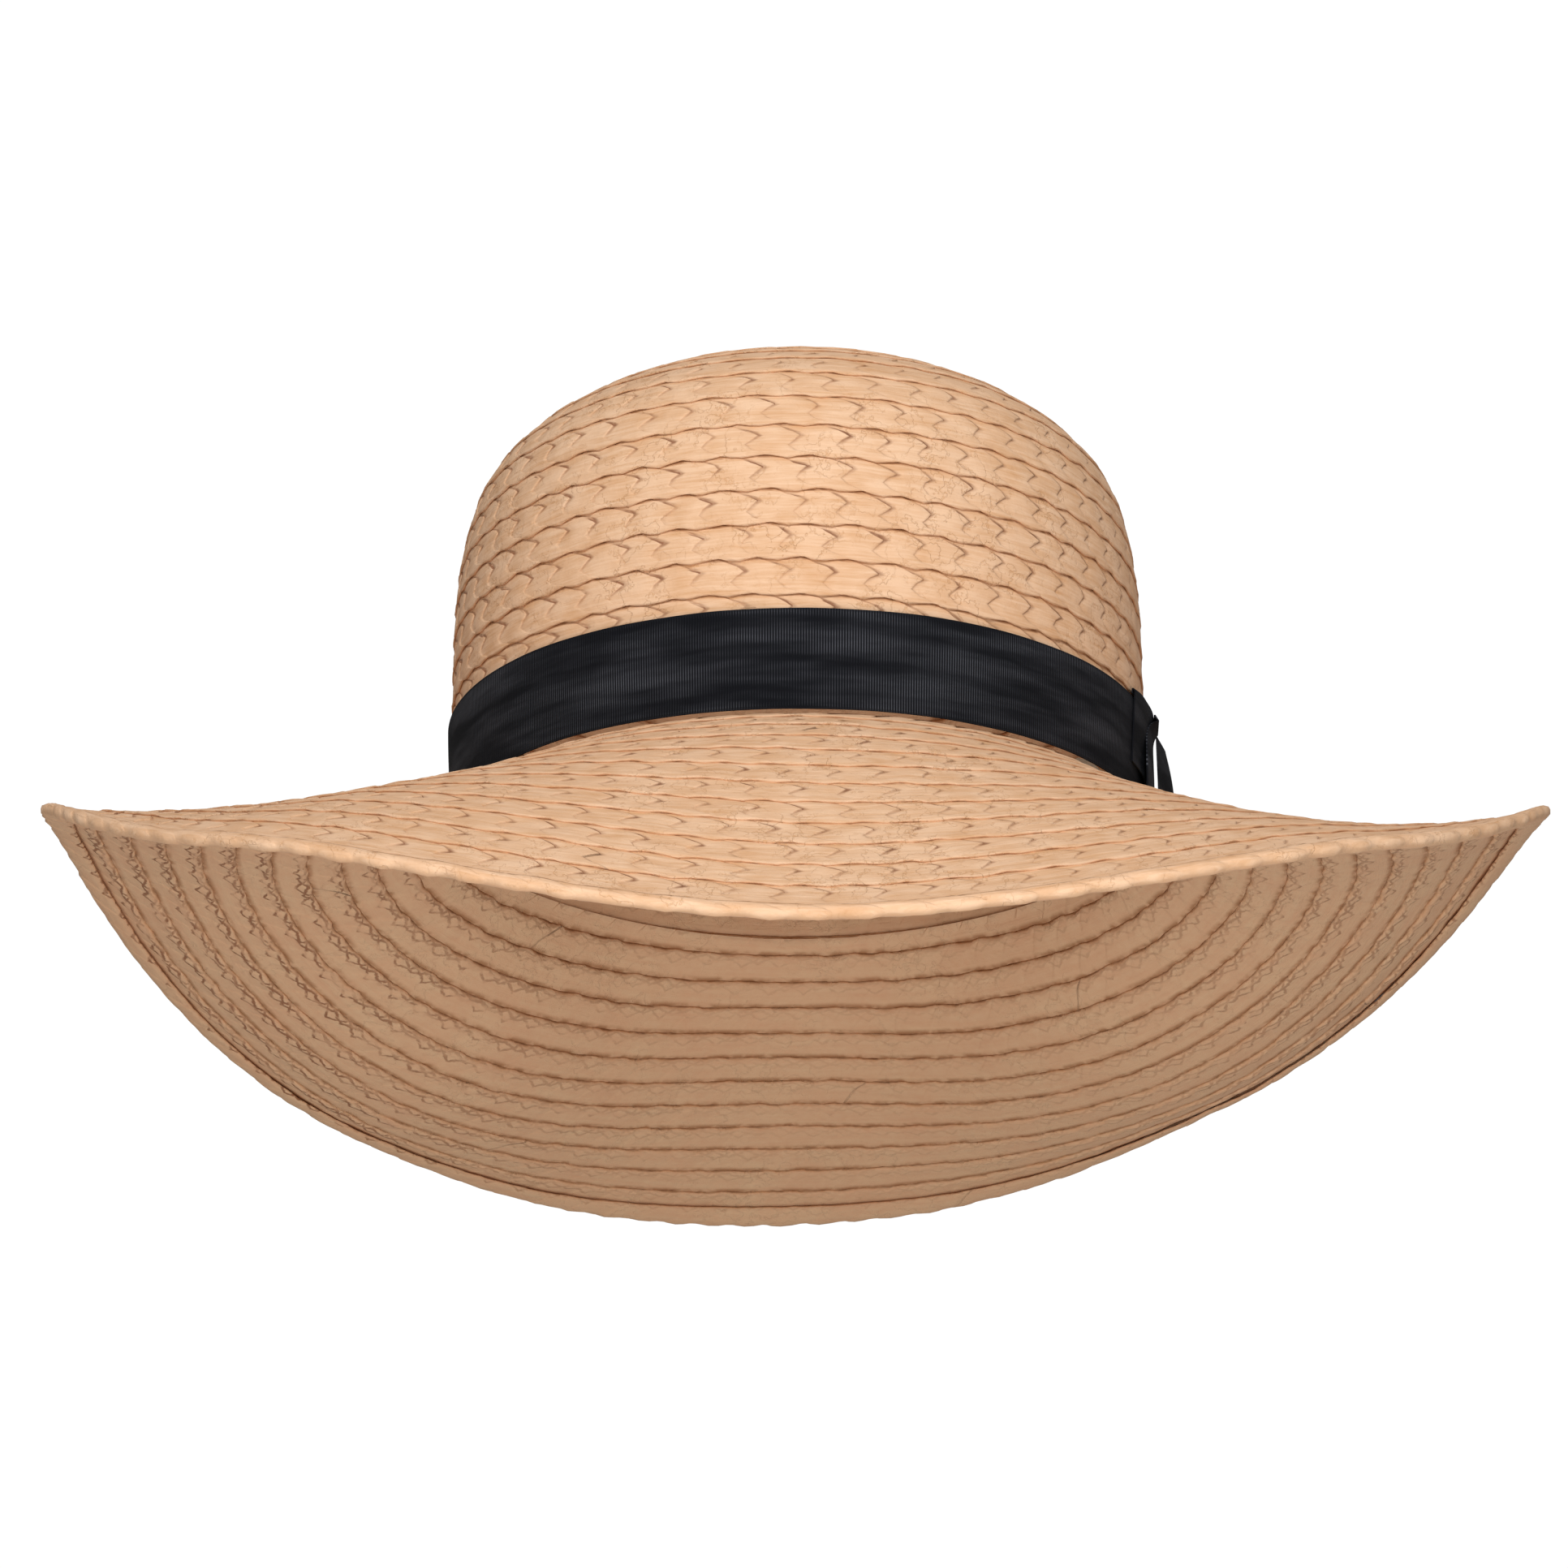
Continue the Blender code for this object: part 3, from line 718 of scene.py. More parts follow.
def dress(tree, shader, colour, roughness, relief, depth):
    """Joins a colour, a roughness and a relief to the shader. The relief's depth is in metres."""
    tree.join(shader.inputs["Base Color"], colour)
    tree.join(shader.inputs["Roughness"], roughness)
    sockets = {"Height": relief, "Distance": depth, "Strength": 1.0}
    tree.join(shader.inputs["Normal"], tree.add("ShaderNodeBump", {}, sockets, "Normal"))


def seam_zigzag_shades(stitches, rows, crinkle, folds):
    """Painted shade in a jagged strip beside each seam of the underside, along the edges where the folded
    straws end.
    """
    marks = None
    for shift, reach in ((0.0, 0.40), (0.43, 0.24)):
        zigzag = ((stitches + shift).fraction() - 0.5).math("ABSOLUTE") * 2.0 * reach
        off = (rows + 0.18 - zigzag + (crinkle - 0.5) * 0.22 + (folds - 0.5) * 0.3).math("ABSOLUTE")
        mark = 1 - off.step(0.02, 0.075)
        marks = mark if marks is None else marks.math("MAXIMUM", mark)
    return marks


def upper_arm_shade(stitches, rows, folds, leaf):
    """Painted shade in the slit above each leaf's tip. It widens toward the tip, and some leaves hardly
    show it.
    """
    share = stitches.fraction()
    curve = share * 0.33 + share * share * 0.30 + (folds - 0.5) * 0.12
    off = (rows - curve).math("ABSOLUTE") / (share * 0.06 + 0.012)
    ends = share.step(0.12, 0.34) * (1 - share.step(0.57, 0.61))
    return (1 - off.step(0.45, 1.0)) * ends * (leaf.step(0.36, 0.58) * 0.85 + 0.15)


PALE_STRAW = (0.855, 0.560, 0.358, 1.0)
WARM_STRAW = (0.69, 0.380, 0.190, 1.0)
UNDER_STRAW = (0.70, 0.440, 0.256, 1.0)
RUDDY_SHARE = (0.94, 0.83, 0.81, 1.0)  # of UNDER_STRAW, for the redder patches underneath
# Colours of painted shade: in the cracks where one leaf dives under the next, and in the seams under each
# row's lip.
LINE_SHADE_BROWN = (0.27, 0.105, 0.045, 1.0)
SEAM_SHADE_BROWN = (0.33, 0.135, 0.050, 1.0)


def straw_finish(name):
    made, tree, shader = finish(name)
    along, across, _ = tree.parts(read(tree, "plait"))
    line, groove, underside = tree.parts(read(tree, "marks"))
    place = tree.object_place()
    stitches, rows = along / STITCH, across / ROW_PITCH
    fibre = tree.noise(tree.vector(along * 120.0, across * 2000.0), 1.0, 3.0, 0.6, 1.0)
    streak = tree.noise(tree.vector(along * 45.0, across * 620.0), 1.0, 2.0, 0.5, 2.0)
    leaf = tree.noise(tree.vector(stitches * 1.3, rows * 1.1), 1.0, 1.0, 0.5, 3.0)
    blotch = tree.noise(place, 60.0, 3.0, 0.6, 4.0)
    crinkle = tree.noise(place, 420.0, 3.0, 0.65, 5.0)
    folds = tree.noise(place, 170.0, 4.0, 0.6, 8.0)
    # Fine folds in the paper: they dent the relief, and are also darkened in colour as painted shade.
    crease_with_shade = 1 - (folds - 0.5).math("ABSOLUTE").step(0.0, 0.016)
    crease_with_shade = crease_with_shade * blotch.step(0.42, 0.60)
    # Painted shade under the previous row's lip: the straw is darker at the seam and pales over the first
    # fifth of the row.
    clear_of_lip_shade = rows.step(0.0, 0.22)
    tone = (fibre - 0.5) * 1.7 + (streak - 0.5) * 1.7 + (leaf - 0.5) * 1.1 + (blotch - 0.5) * 0.9 + 0.45
    top = tree.blend((tone + clear_of_lip_shade * 0.2 - crease_with_shade * 0.5).clamped(), WARM_STRAW, PALE_STRAW)
    mottle = ((crinkle - 0.5) * 1.2 + (blotch - 0.5) * 1.6 + (streak - 0.5) * 1.4 + 0.5).clamped()
    ruddy = tuple(value * part for value, part in zip(UNDER_STRAW, RUDDY_SHARE))
    low = tree.blend(mottle, ruddy, UNDER_STRAW)
    body = tree.blend(underside, top, low)
    broken = tree.noise(tree.vector(along * 210.0, across * 260.0), 1.0, 2.0, 0.6, 6.0)
    # Painted shade in the cracks where one leaf dives under the next, broken up along each line, and in the
    # slit above each tip.
    shown = line + (leaf - 0.5) * 0.5
    crack_shade = line.step(0.05, 0.4) * shown.step(0.35, 1.0) * (broken.step(0.34, 0.66) * 0.6 + 0.4)
    crack_shade = crack_shade.math("MAXIMUM", upper_arm_shade(stitches, rows, folds, leaf) * (1 - underside))
    side_x, _, _ = tree.parts(place)
    # The painted shade along the underside's seams is weighted: stronger away from the middle, and most on
    # the side toward negative x.
    side_shade_weight = side_x.math("ABSOLUTE").step(0.05, 0.15) * 0.55 + (0.0 - side_x).step(0.0, 0.13) * 0.45
    # Painted shade in the zigzag edges at the underside's seams, broken up by the streaks; the same zigzags
    # dent the relief.
    seam_zigzag_shade = seam_zigzag_shades(stitches, rows, crinkle, folds) * underside * (streak.step(0.36, 0.60) * 0.7 + 0.1)
    seam_zigzag_shade = seam_zigzag_shade * (side_shade_weight * 1.1 + 0.25)
    with_crack_shade = tree.blend((crack_shade + seam_zigzag_shade).clamped() * 0.92, body, LINE_SHADE_BROWN)
    # Painted shade in the seams, where each row's lip overhangs the next row, and underneath between the
    # teeth of the inner edges.
    seam_shade = groove.step(0.35, 1.0) * (broken.step(0.36, 0.60) * 0.7 + 0.15)
    colour = tree.blend(seam_shade.clamped(), with_crack_shade, SEAM_SHADE_BROWN)
    relief = fibre * 0.35 + streak * 0.5 + crinkle * 0.6 + folds * 0.7 - seam_zigzag_shade * 0.6 - crease_with_shade * 0.25
    dress(tree, shader, colour, (fibre - 0.5) * 0.25 + 0.66, relief, 0.34 * MM)
    shader.inputs["Specular IOR Level"].default_value = 0.3
    return made


straw = straw_finish("plaited_straw")
edge_straw = straw_finish("folded_straw")
print("straw finishes:", straw.name, edge_straw.name)

# %% [markdown]
# ## The crown
# The crown is one spiral. It starts at the middle of the tip and moves out by one row each turn. Short
# rows near the tip hold few stitches and long rows near the head opening hold many, so the turn of
# each stitch is read back from the length of the spiral so far.


# %% Where the crown's stitches lie
def spiral_places(first_turn, last_turn, pitch):
    """The turn and start of every stitch of a spiral that moves out by one pitch a turn."""
    turns = np.linspace(0.02, last_turn + 0.2, 6000)
    points = crown_point(turns % 1.0, np.minimum(turns * pitch, CROWN_RUN))
    length = np.concatenate([[0], np.cumsum(np.linalg.norm(np.diff(points, axis=0), axis=1))])
    reach = np.interp([first_turn, last_turn], turns, length)
    count = round((reach[1] - reach[0]) / STITCH)
    steps = (reach[1] - reach[0]) / count
    stitch_ends = reach[0] + steps * np.arange(-1, count + 3)
    turn = np.interp(stitch_ends, length, turns)
    return turn, (turn - 1.0) * pitch


CROWN_ROWS = round(CROWN_RUN / ROW_PITCH)
crown_pitch = CROWN_RUN / CROWN_ROWS
TIP_ROWS = 13
tip_run = spiral_places(0.12, TIP_ROWS, crown_pitch)
wall_run = spiral_places(TIP_ROWS, CROWN_ROWS + 0.6, crown_pitch)


def belongs(piece, node, body="hat"):
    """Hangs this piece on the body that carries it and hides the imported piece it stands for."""
    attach(piece, body)
    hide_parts(node)


for name, run in (("crown_tip_plait", tip_run), ("crown_wall_plait", wall_run)):
    belongs(lay_plait(name, plait_stitch, crown_guide, CROWN_RUN, [run], straw), "crown")
print("rows in the crown:", CROWN_ROWS, "each", round(crown_pitch * 1000, 2), "mm")

# %% [markdown]
# ## The brim
# The brim goes on row by row from the head opening to the fold at the edge. Its rows are laid as closed
# rings, each with a whole number of stitches, so every ring meets itself without a gap. The rings are
# shared between three pieces to keep each mesh light.

# %% Where the brim's rings lie
BRIM_LAST_LIP = BRIM_WIDTH - 3.0 * MM


def ring_places(start, shift):
    """One closed ring whose row begins at the given distance. shift turns it, so that rings differ."""
    turns = np.linspace(0, 1, 400)
    points = brim_point(turns, np.full(turns.shape, start + ROW_PITCH / 2))
    length = np.concatenate([[0], np.cumsum(np.linalg.norm(np.diff(points, axis=0), axis=1))])
    count = round(length[-1] / STITCH)
    steps = np.arange(-1, count + 3) / count + shift
    turn = np.interp(steps % 1.0, length / length[-1], turns) + np.floor(steps)
    return turn, np.full(turn.shape, start + BRIM_LAP)


brim_rows = int(BRIM_LAST_LIP / ROW_PITCH) + 1
ring_starts = [BRIM_LAST_LIP - ROW_PITCH * (row + 1) for row in range(brim_rows)][::-1]
rings = [ring_places(start, 0.37 * index % 1.0) for index, start in enumerate(ring_starts)]
for name, chosen in (("inner", rings[:5]), ("middle", rings[5:9]), ("outer", rings[9:])):
    name = f"brim_{name}_plait"
    piece = lay_plait(name, plait_stitch, brim_guide, BRIM_GUIDE_RUN, chosen, straw, seed=2.0)
    belongs(piece, "brim")
print("rings in the brim:", brim_rows)

# %% The folded edge
edge_ring = ring_places(BRIM_WIDTH - ROW_PITCH, 0.2)
EDGE_WAVINESS = 0.5 * MM
folded_edge = lay_plait(
    "folded_edge_plait", fold_stitch, brim_guide, BRIM_GUIDE_RUN, [edge_ring], edge_straw, EDGE_WAVINESS
)
belongs(folded_edge, "edge_binding")

# %% [markdown]
# ## The ribbon
# The ribbon is a grosgrain: fine ribs run straight across it, close together, between two thin
# selvedges. It lies round the crown's foot under light tension. A flat strip would do for its shape,
# but real ribbon never lies perfectly even, so the strip has fine columns that ripple a little.


# %% A soft strip from a grid of points
def soft_strip(name, outer, inner, marks, cloth):
    """A thin closed shell between two equal grids of points (columns, rows, 3). marks go to `cloth`."""
    columns, rows = outer.shape[:2]
    index = np.arange(columns * rows).reshape(columns, rows)
    back = index + columns * rows
    faces = [grid_faces(index), grid_faces(back, flipped=True)]
    for edge, flipped in ((np.s_[:, 0], True), (np.s_[:, -1], False), (0, False), (-1, True)):
        faces.append(grid_faces(np.stack([index[edge], back[edge]], 1), flipped))
    mesh = bpy.data.meshes.new(name)
    points = np.concatenate([outer.reshape(-1, 3), inner.reshape(-1, 3)])
    mesh.from_pydata(points, [], np.concatenate(faces))
    store_vectors(mesh, "cloth", np.concatenate([marks.reshape(-1, 3)] * 2))
    mesh.shade_smooth()
    mesh.set_sharp_from_angle(angle=math.radians(50))
    mesh.materials.append(cloth)
    print(name, "has", len(mesh.polygons), "faces")
    return new_object(name, mesh)


# %% The ribbon's finish
RIB = 0.68 * MM
BAND_RADIUS = 94.5 * MM  # the ribbon's mean distance from the hat's middle
SELVEDGE_IN, SELVEDGE_OUT = 0.8 * MM, 0.4 * MM  # where the selvedge begins, in from the ribbon's edge
RIBBON_BLACK = (0.0050, 0.0058, 0.0085, 1.0)
RIBBON_SHEEN = (0.130, 0.137, 0.160, 1.0)
ribbon_finish, tree, shader = finish("ribbed_ribbon")
along, up, _ = tree.parts(read(tree, "cloth"))
rib_wave = (along * (2 * math.pi / RIB)).math("SINE") * 0.5 + 0.5
thread_noise = tree.noise(tree.vector(along * 900.0, up * 2500.0), 1.0, 2.0, 0.6, 1.0)
wrinkles_and_sheen = tree.noise(tree.vector(along * 22.0, up * 150.0), 1.0, 3.0, 0.55, 2.0)
half_width = RIBBON_WIDTH / 2
from_middle = (up - half_width).math("ABSOLUTE")
selvedge = from_middle.step(half_width - SELVEDGE_IN, half_width - SELVEDGE_OUT)
# Painted highlight: the rib tops are lighter, in long patches that follow the soft wrinkles, and less on
# the selvedges.
rib_light = rib_wave**2.0 * (0.5 + thread_noise * 0.5) * wrinkles_and_sheen.step(0.35, 0.72) * (1 - selvedge * 0.6)
colour = tree.blend(rib_light.clamped(), RIBBON_BLACK, RIBBON_SHEEN)
relief = rib_wave * (1 - selvedge) + thread_noise * 0.25 + wrinkles_and_sheen * 0.8
dress(tree, shader, colour, 0.90 - thread_noise * 0.15, relief, 0.2 * MM)
shader.inputs["Specular IOR Level"].default_value = 0.12


# %% The ribbon round the crown
KNOT_FRONT, KNOT_BACK = -23.0 / 360, 5.0 / 360
BAND_FOOT = 0.4 * MM
BAND_TOP = BAND_FOOT + RIBBON_WIDTH
BAND_CLOTH = 0.45 * MM
JOIN_HALF_GAP = 0.0018  # of a turn, between the ribbon's ends and the middle of the knot
# (turn, how far it leans in mm, width in square mm) of the soft creases
CREASES = ((0.62, 6, 2.0), (0.655, -4, 3.0), (0.58, 9, 4.0))
dice = np.random.default_rng(7)


def ripple(turn, counts, amount):
    """A gentle closed wave round the hat, the same in every run."""
    phases = dice.uniform(0, 2 * np.pi, len(counts))
    waves = [np.sin(2 * np.pi * count * turn + phase) / count**0.5 for count, phase in zip(counts, phases)]
    return amount * sum(waves)


band_middle = (KNOT_FRONT + KNOT_BACK) / 2
turns = band_middle + JOIN_HALF_GAP + np.linspace(0, 1 - 2 * JOIN_HALF_GAP, 900)
rows = np.linspace(0, 1, 11)
turn, row = np.meshgrid(turns, rows, indexing="ij")
low = BAND_FOOT + 0.15 * MM + ripple(turn, (7, 13, 29), 0.08 * MM)
high = BAND_TOP + ripple(turn, (5, 11, 23), 0.12 * MM)
heights = low + (high - low) * row
swell = 0.10 * MM * np.sin(np.pi * row) + ripple(turn, (17, 31, 43), 0.03 * MM) * np.sin(np.pi * row)
creases = sum(
    0.16 * MM * np.exp(-(((turn - centre) * 590 + (row - 0.5) * lean) ** 2) / width)
    for centre, lean, width in CREASES
)
out = GAP + RIBBON + swell - creases * np.sin(np.pi * row)
measure = np.stack([turn * 2 * np.pi * BAND_RADIUS, heights - BAND_FOOT, row], -1)
band_face, band_back = wall_point(turn, heights, out), wall_point(turn, heights, out - BAND_CLOTH)
hat_ribbon = soft_strip("hat_ribbon", band_face, band_back, measure, ribbon_finish)
belongs(hat_ribbon, "hat_band")

# %% [markdown]
# ## The knot and its two tails
# At the wearer's left the ribbon's ends are folded over the band. The fold stands a little above the
# band, and two short tails hang from it: the front one lies flat, and the back one stands off and
# turns outward at its free corner. Both tails hang from one hinge line at the top of the band, one to each
# side.

# %% The knot
KNOT_RISE = 4.0 * MM
KNOT_DEPTH = 3.0 * MM
FOLD_DEPTH = 2.4 * MM
FOLD_CLOTH = 0.32 * MM
PLATE = GAP + RIBBON + GAP
plate_outer = PLATE + 0.35 * MM
share = np.linspace(0, 1, 64)
knot_turn = KNOT_FRONT + (KNOT_BACK - KNOT_FRONT) * share
rise = KNOT_RISE * (0.45 + 0.55 * np.sin(np.pi * np.minimum(share / 1.2, 1.0)))
depth = plate_outer + (FOLD_DEPTH - plate_outer) * np.sin(np.pi * (0.08 + 0.84 * share))
depth = depth + 0.22 * MM * np.sin(share * 17.0) * np.sin(np.pi * share)
hook = BAND_TOP + GAP
# (height, distance out from the wall) of each corner of the fold, from its foot over to its back edge
corners = [
    (8.0 * MM + 0 * rise, PLATE + 0.30 * MM + 0 * rise),
    (14.0 * MM + 0 * rise, plate_outer + 0.12 * MM * np.sin(share * 23.0)),
    (hook - 3.0 * MM + 0 * rise, plate_outer + (depth - plate_outer) * 0.45),
    (hook + 0.2 * MM + 0 * rise, depth),
    (hook + rise * 0.55, depth * 0.98 + 0.05 * MM),
    (hook + rise * 0.92, GAP + (depth - GAP) * 0.72),
    (hook + rise, GAP + (depth - GAP) * 0.42),
    (hook + rise * 0.84, GAP + 0.45 * MM + 0 * rise),
    (hook + rise * 0.3, GAP + 0.35 * MM + 0 * rise),
]
control = np.stack([np.stack(corner, -1) for corner in corners], 1)


def through(points, steps):
    """A smooth open curve through each row of (columns, points, 2), with steps between points."""
    ahead_of_first = 2 * points[:, :1] - points[:, 1:2]
    past_last = 2 * points[:, -1:] - points[:, -2:-1]
    padded = np.concatenate([ahead_of_first, points, past_last], 1)
    pieces = []
    for i in range(1, padded.shape[1] - 2):
        before, start, end, after = (padded[:, i + k][:, None] for k in (-1, 0, 1, 2))
        t = np.linspace(0, 1, steps, endpoint=False)[None, :, None]
        pieces.append(hermite(start, (end - before) / 2, end, (after - start) / 2, t))
    return np.concatenate([*pieces, points[:, -1:]], 1)


line = through(control, 4)
tangent = np.gradient(line, axis=1)
tangent /= np.linalg.norm(tangent, axis=-1, keepdims=True)
inward = np.stack([tangent[..., 1], -tangent[..., 0]], -1)
inner_line = line + inward * FOLD_CLOTH
knot_turns = np.broadcast_to(knot_turn[:, None], line.shape[:2])
run = np.cumsum(np.linalg.norm(np.diff(line, axis=1, prepend=line[:, :1]), axis=-1), axis=1)
measure = np.stack([knot_turns * 2 * np.pi * BAND_RADIUS + 0.003, run + 1.2 * MM, run], -1)
knot_face = wall_point(knot_turns, line[..., 0], line[..., 1])
knot_back = wall_point(knot_turns, inner_line[..., 0], np.maximum(inner_line[..., 1], GAP))
knot = soft_strip("knot_fold", knot_face, knot_back, measure, ribbon_finish)
belongs(knot, "knot_wrap")

# %% The tails
TAIL_LENGTH = RIBBON_WIDTH + 0.3 * MM
TAIL_WIDTH = 22.5 * MM
TAIL_ROOT_WIDTH = 12.0 * MM
TAIL_CUT = 4.0 * MM
TAIL_SPACE = 1.0 * MM
TAIL_STAND = 1.7 * MM  # how far the back tail's free edge stands off at the hinge
TAIL_FLARE = 4.5 * MM  # and at its lower end
TAIL_CLOTH = 0.40 * MM
NECK = 0.064  # how far a tail runs on above the hinge, as a share of its length
HINGE_TURN = -5.0 / 360
hinge_normal = oval_normal(HINGE_TURN)
hinge_side = np.array([-hinge_normal[1], hinge_normal[0]])
hinge_point = wall_point(HINGE_TURN, BAND_TOP - GAP, KNOT_DEPTH + 2 * RIBBON)


def hang_tail(name, node, body, side):
    """A short ribbon end below the hinge. side is -1 for the front tail and 1 for the back one."""
    down, over = np.meshgrid(np.linspace(-NECK, 1, 34), np.linspace(0, 1, 29), indexing="ij")
    hung = np.maximum(down, 0)
    width = TAIL_ROOT_WIDTH + (TAIL_WIDTH - TAIL_ROOT_WIDTH) * np.minimum(1.0, 1.6 * hung) ** 0.7
    sideways = (TAIL_SPACE / 2 + width * over) * side
    drop = down * (TAIL_LENGTH - TAIL_CUT * (1 - over))
    curl = 0.25 * MM * np.sin(down * 3.0 + over * 2.0) * hung
    root = -0.9 * MM * np.clip(-down / NECK, 0, 1)
    if side < 0:
        settled = 1 - np.exp(-hung * 14.0)
        stand = root + curl - 0.5 * MM - (1.5 * MM + 1.9 * MM * over**2) * settled
    else:
        opened = 1 - (1 - hung) ** 3
        flare = over**1.3 * (TAIL_STAND + (TAIL_FLARE - TAIL_STAND) * opened)
        stand = root + curl - 0.7 * MM * (1 - over) ** 2 + flare

    def placed(out):
        level = hinge_point[:2] + sideways[..., None] * hinge_side + out[..., None] * hinge_normal
        return np.concatenate([level, (hinge_point[2] - drop)[..., None]], -1)

    marks = np.stack([sideways + 0.05, drop * 0.9 + 1.5 * MM, drop], -1)
    faces = (placed(stand), placed(stand - TAIL_CLOTH))[::-side]
    made = soft_strip(name, *faces, marks, ribbon_finish)
    clean = bmesh.new()
    clean.from_mesh(made.data)
    bmesh.ops.recalc_face_normals(clean, faces=clean.faces)
    clean.to_mesh(made.data)
    clean.free()
    belongs(made, node, body)


hang_tail("front_tail_ribbon", "tail_front", "front_tail", -1)
hang_tail("back_tail_ribbon", "tail_back", "back_tail", 1)
print("the tails hang from", rounded(hinge_point))

# %% [markdown]
# ## Inside the crown
# A soft woven band lines the head opening. It is split at the back, where a tape joins its ends, and
# two blank labels are sewn to it. These are plain strips on the wall, with a woven finish.


# %% Woven finishes
def woven_finish(name, colour, threads_per_mm, bumpiness):
    made, tree, shader = finish(name)
    along, up, _ = tree.parts(read(tree, "cloth"))
    turns_per_metre = threads_per_mm * 1000 * math.pi
    warp = (along * turns_per_metre).math("SINE").math("ABSOLUTE")
    weft = (up * turns_per_metre).math("SINE").math("ABSOLUTE")
    fuzz = tree.noise(tree.vector(along * 1500.0, up * 1500.0), 1.0, 2.0, 0.6, 1.0)
    soil = tree.noise(tree.vector(along * 40.0, up * 60.0), 1.0, 2.0, 0.5, 2.0)
    # Painted shade: the dips between the threads are darker and the crossings lighter; soil is real dirt,
    # blotching the cloth with the same darker colour.
    weave = warp * weft
    tone = (weave * 0.5 + fuzz * 0.4 + soil * 0.4 - 0.15).clamped()
    shade_and_soil_colour = (*[value * 0.62 for value in colour], 1.0)
    shown = tree.blend(tone, shade_and_soil_colour, (*colour, 1.0))
    dress(tree, shader, shown, 0.88 - fuzz * 0.12, weave + fuzz * 0.3, bumpiness)
    shader.inputs["Sheen Weight"].default_value = 0.15
    return made


band_cloth = woven_finish("sweatband_cloth", (0.60, 0.47, 0.33), 1.6, 0.10 * MM)
join_cloth = woven_finish("join_tape_cloth", (0.56, 0.43, 0.30), 1.1, 0.12 * MM)
label_cloth = woven_finish("label_cloth", (0.78, 0.75, 0.70), 3.0, 0.05 * MM)
print("woven finishes:", band_cloth.name, join_cloth.name, label_cloth.name)


# %% Strips on the inside of the wall
SWEATBAND_FOOT = 9.0 * MM
SWEATBAND_HEIGHT = 28.0 * MM
SWEATBAND = 0.8 * MM
LINING_RADIUS = 92.0 * MM
LABEL_CLOTH = 0.4 * MM
TAPE_CLOTH = 0.5 * MM
TAPE_WIDTH = 12.0 * MM
BACK = 0.25  # the turn at the back of the hat
band_outer = -STRAW - GAP
band_inner = band_outer - SWEATBAND


def turn_of_width(turn, width):
    """The share of a turn that spans a width on the head oval."""
    angle = 2 * math.pi * turn
    speed = math.hypot(HEAD_HALF_WIDTH * math.sin(angle), HEAD_HALF_LENGTH * math.cos(angle))
    return width / speed / (2 * math.pi)


def inside_strip(names, cloth, turns, foot, height, outer, thickness, swell=0.0):
    """A strip on the wall's inside. Its visible face is the inner one. names are its own and its node's."""
    turn, row = np.meshgrid(turns, np.linspace(0, 1, 9), indexing="ij")
    heights = foot + height * row
    puff = swell * np.sin(np.pi * row) ** 0.5
    inner = wall_point(turn, heights, outer - thickness - puff)
    marks = np.stack([turn * 2 * np.pi * LINING_RADIUS, heights - foot, row], -1)
    made = soft_strip(names[0], wall_point(turn, heights, outer), inner, marks, cloth)
    belongs(made, names[1])


half_split = turn_of_width(BACK, 0.5 * MM)
around = np.linspace(BACK + half_split - 1, BACK - half_split, 361)
inside_strip(
    ("lining_band", "sweatband"), band_cloth, around, SWEATBAND_FOOT, SWEATBAND_HEIGHT,
    band_outer, SWEATBAND * 0.8, 0.1 * MM,
)
half_tape = turn_of_width(BACK, TAPE_WIDTH / 2)
tape_turns = np.linspace(BACK - half_tape, BACK + half_tape, 17)
inside_strip(
    ("lining_join", "sweatband_join"), join_cloth, tape_turns, SWEATBAND_FOOT,
    SWEATBAND_HEIGHT, band_inner - GAP, TAPE_CLOTH,
)
for name, node, degrees, width, foot, height in (
    ("blank_label", "label", 68.0, 34.0 * MM, SWEATBAND_FOOT + 6.4 * MM, 17.0 * MM),
    ("blank_size_label", "size_label", 104.0, 12.0 * MM, SWEATBAND_FOOT + 17.4 * MM, 18.0 * MM),
):
    half = turn_of_width(degrees / 360, width / 2)
    label_turns = np.linspace(degrees / 360 - half, degrees / 360 + half, 17)
    inside_strip(
        (name, node), label_cloth, label_turns, foot, height,
        band_inner - GAP, LABEL_CLOTH,
    )

# %% [markdown]
# ## Sewing
# The lining is held by a row of stitches about 3 mm long near its foot, and three small bars of thread
# hold the ribbon's top edge. A stitch is a short rounded bar, so one bar is made and a Geometry Nodes tree
# sets it along a row of points, turned to follow them.

# %% One stitch of thread
def thread_finish(name, shaded, lit):
    made, tree, shader = finish(name)
    twist = tree.noise(tree.object_place(), 1800.0, 2.0, 0.5, 1.0)
    dress(tree, shader, tree.blend(twist, shaded, lit), 0.85 - twist * 0.2, twist, 0.05 * MM)
    return made


dark_thread = thread_finish("sewing_thread", (0.03, 0.027, 0.024, 1.0), (0.085, 0.076, 0.065, 1.0))
straw_thread = thread_finish("tack_thread", (0.34, 0.18, 0.09, 1.0), (0.62, 0.37, 0.21, 1.0))


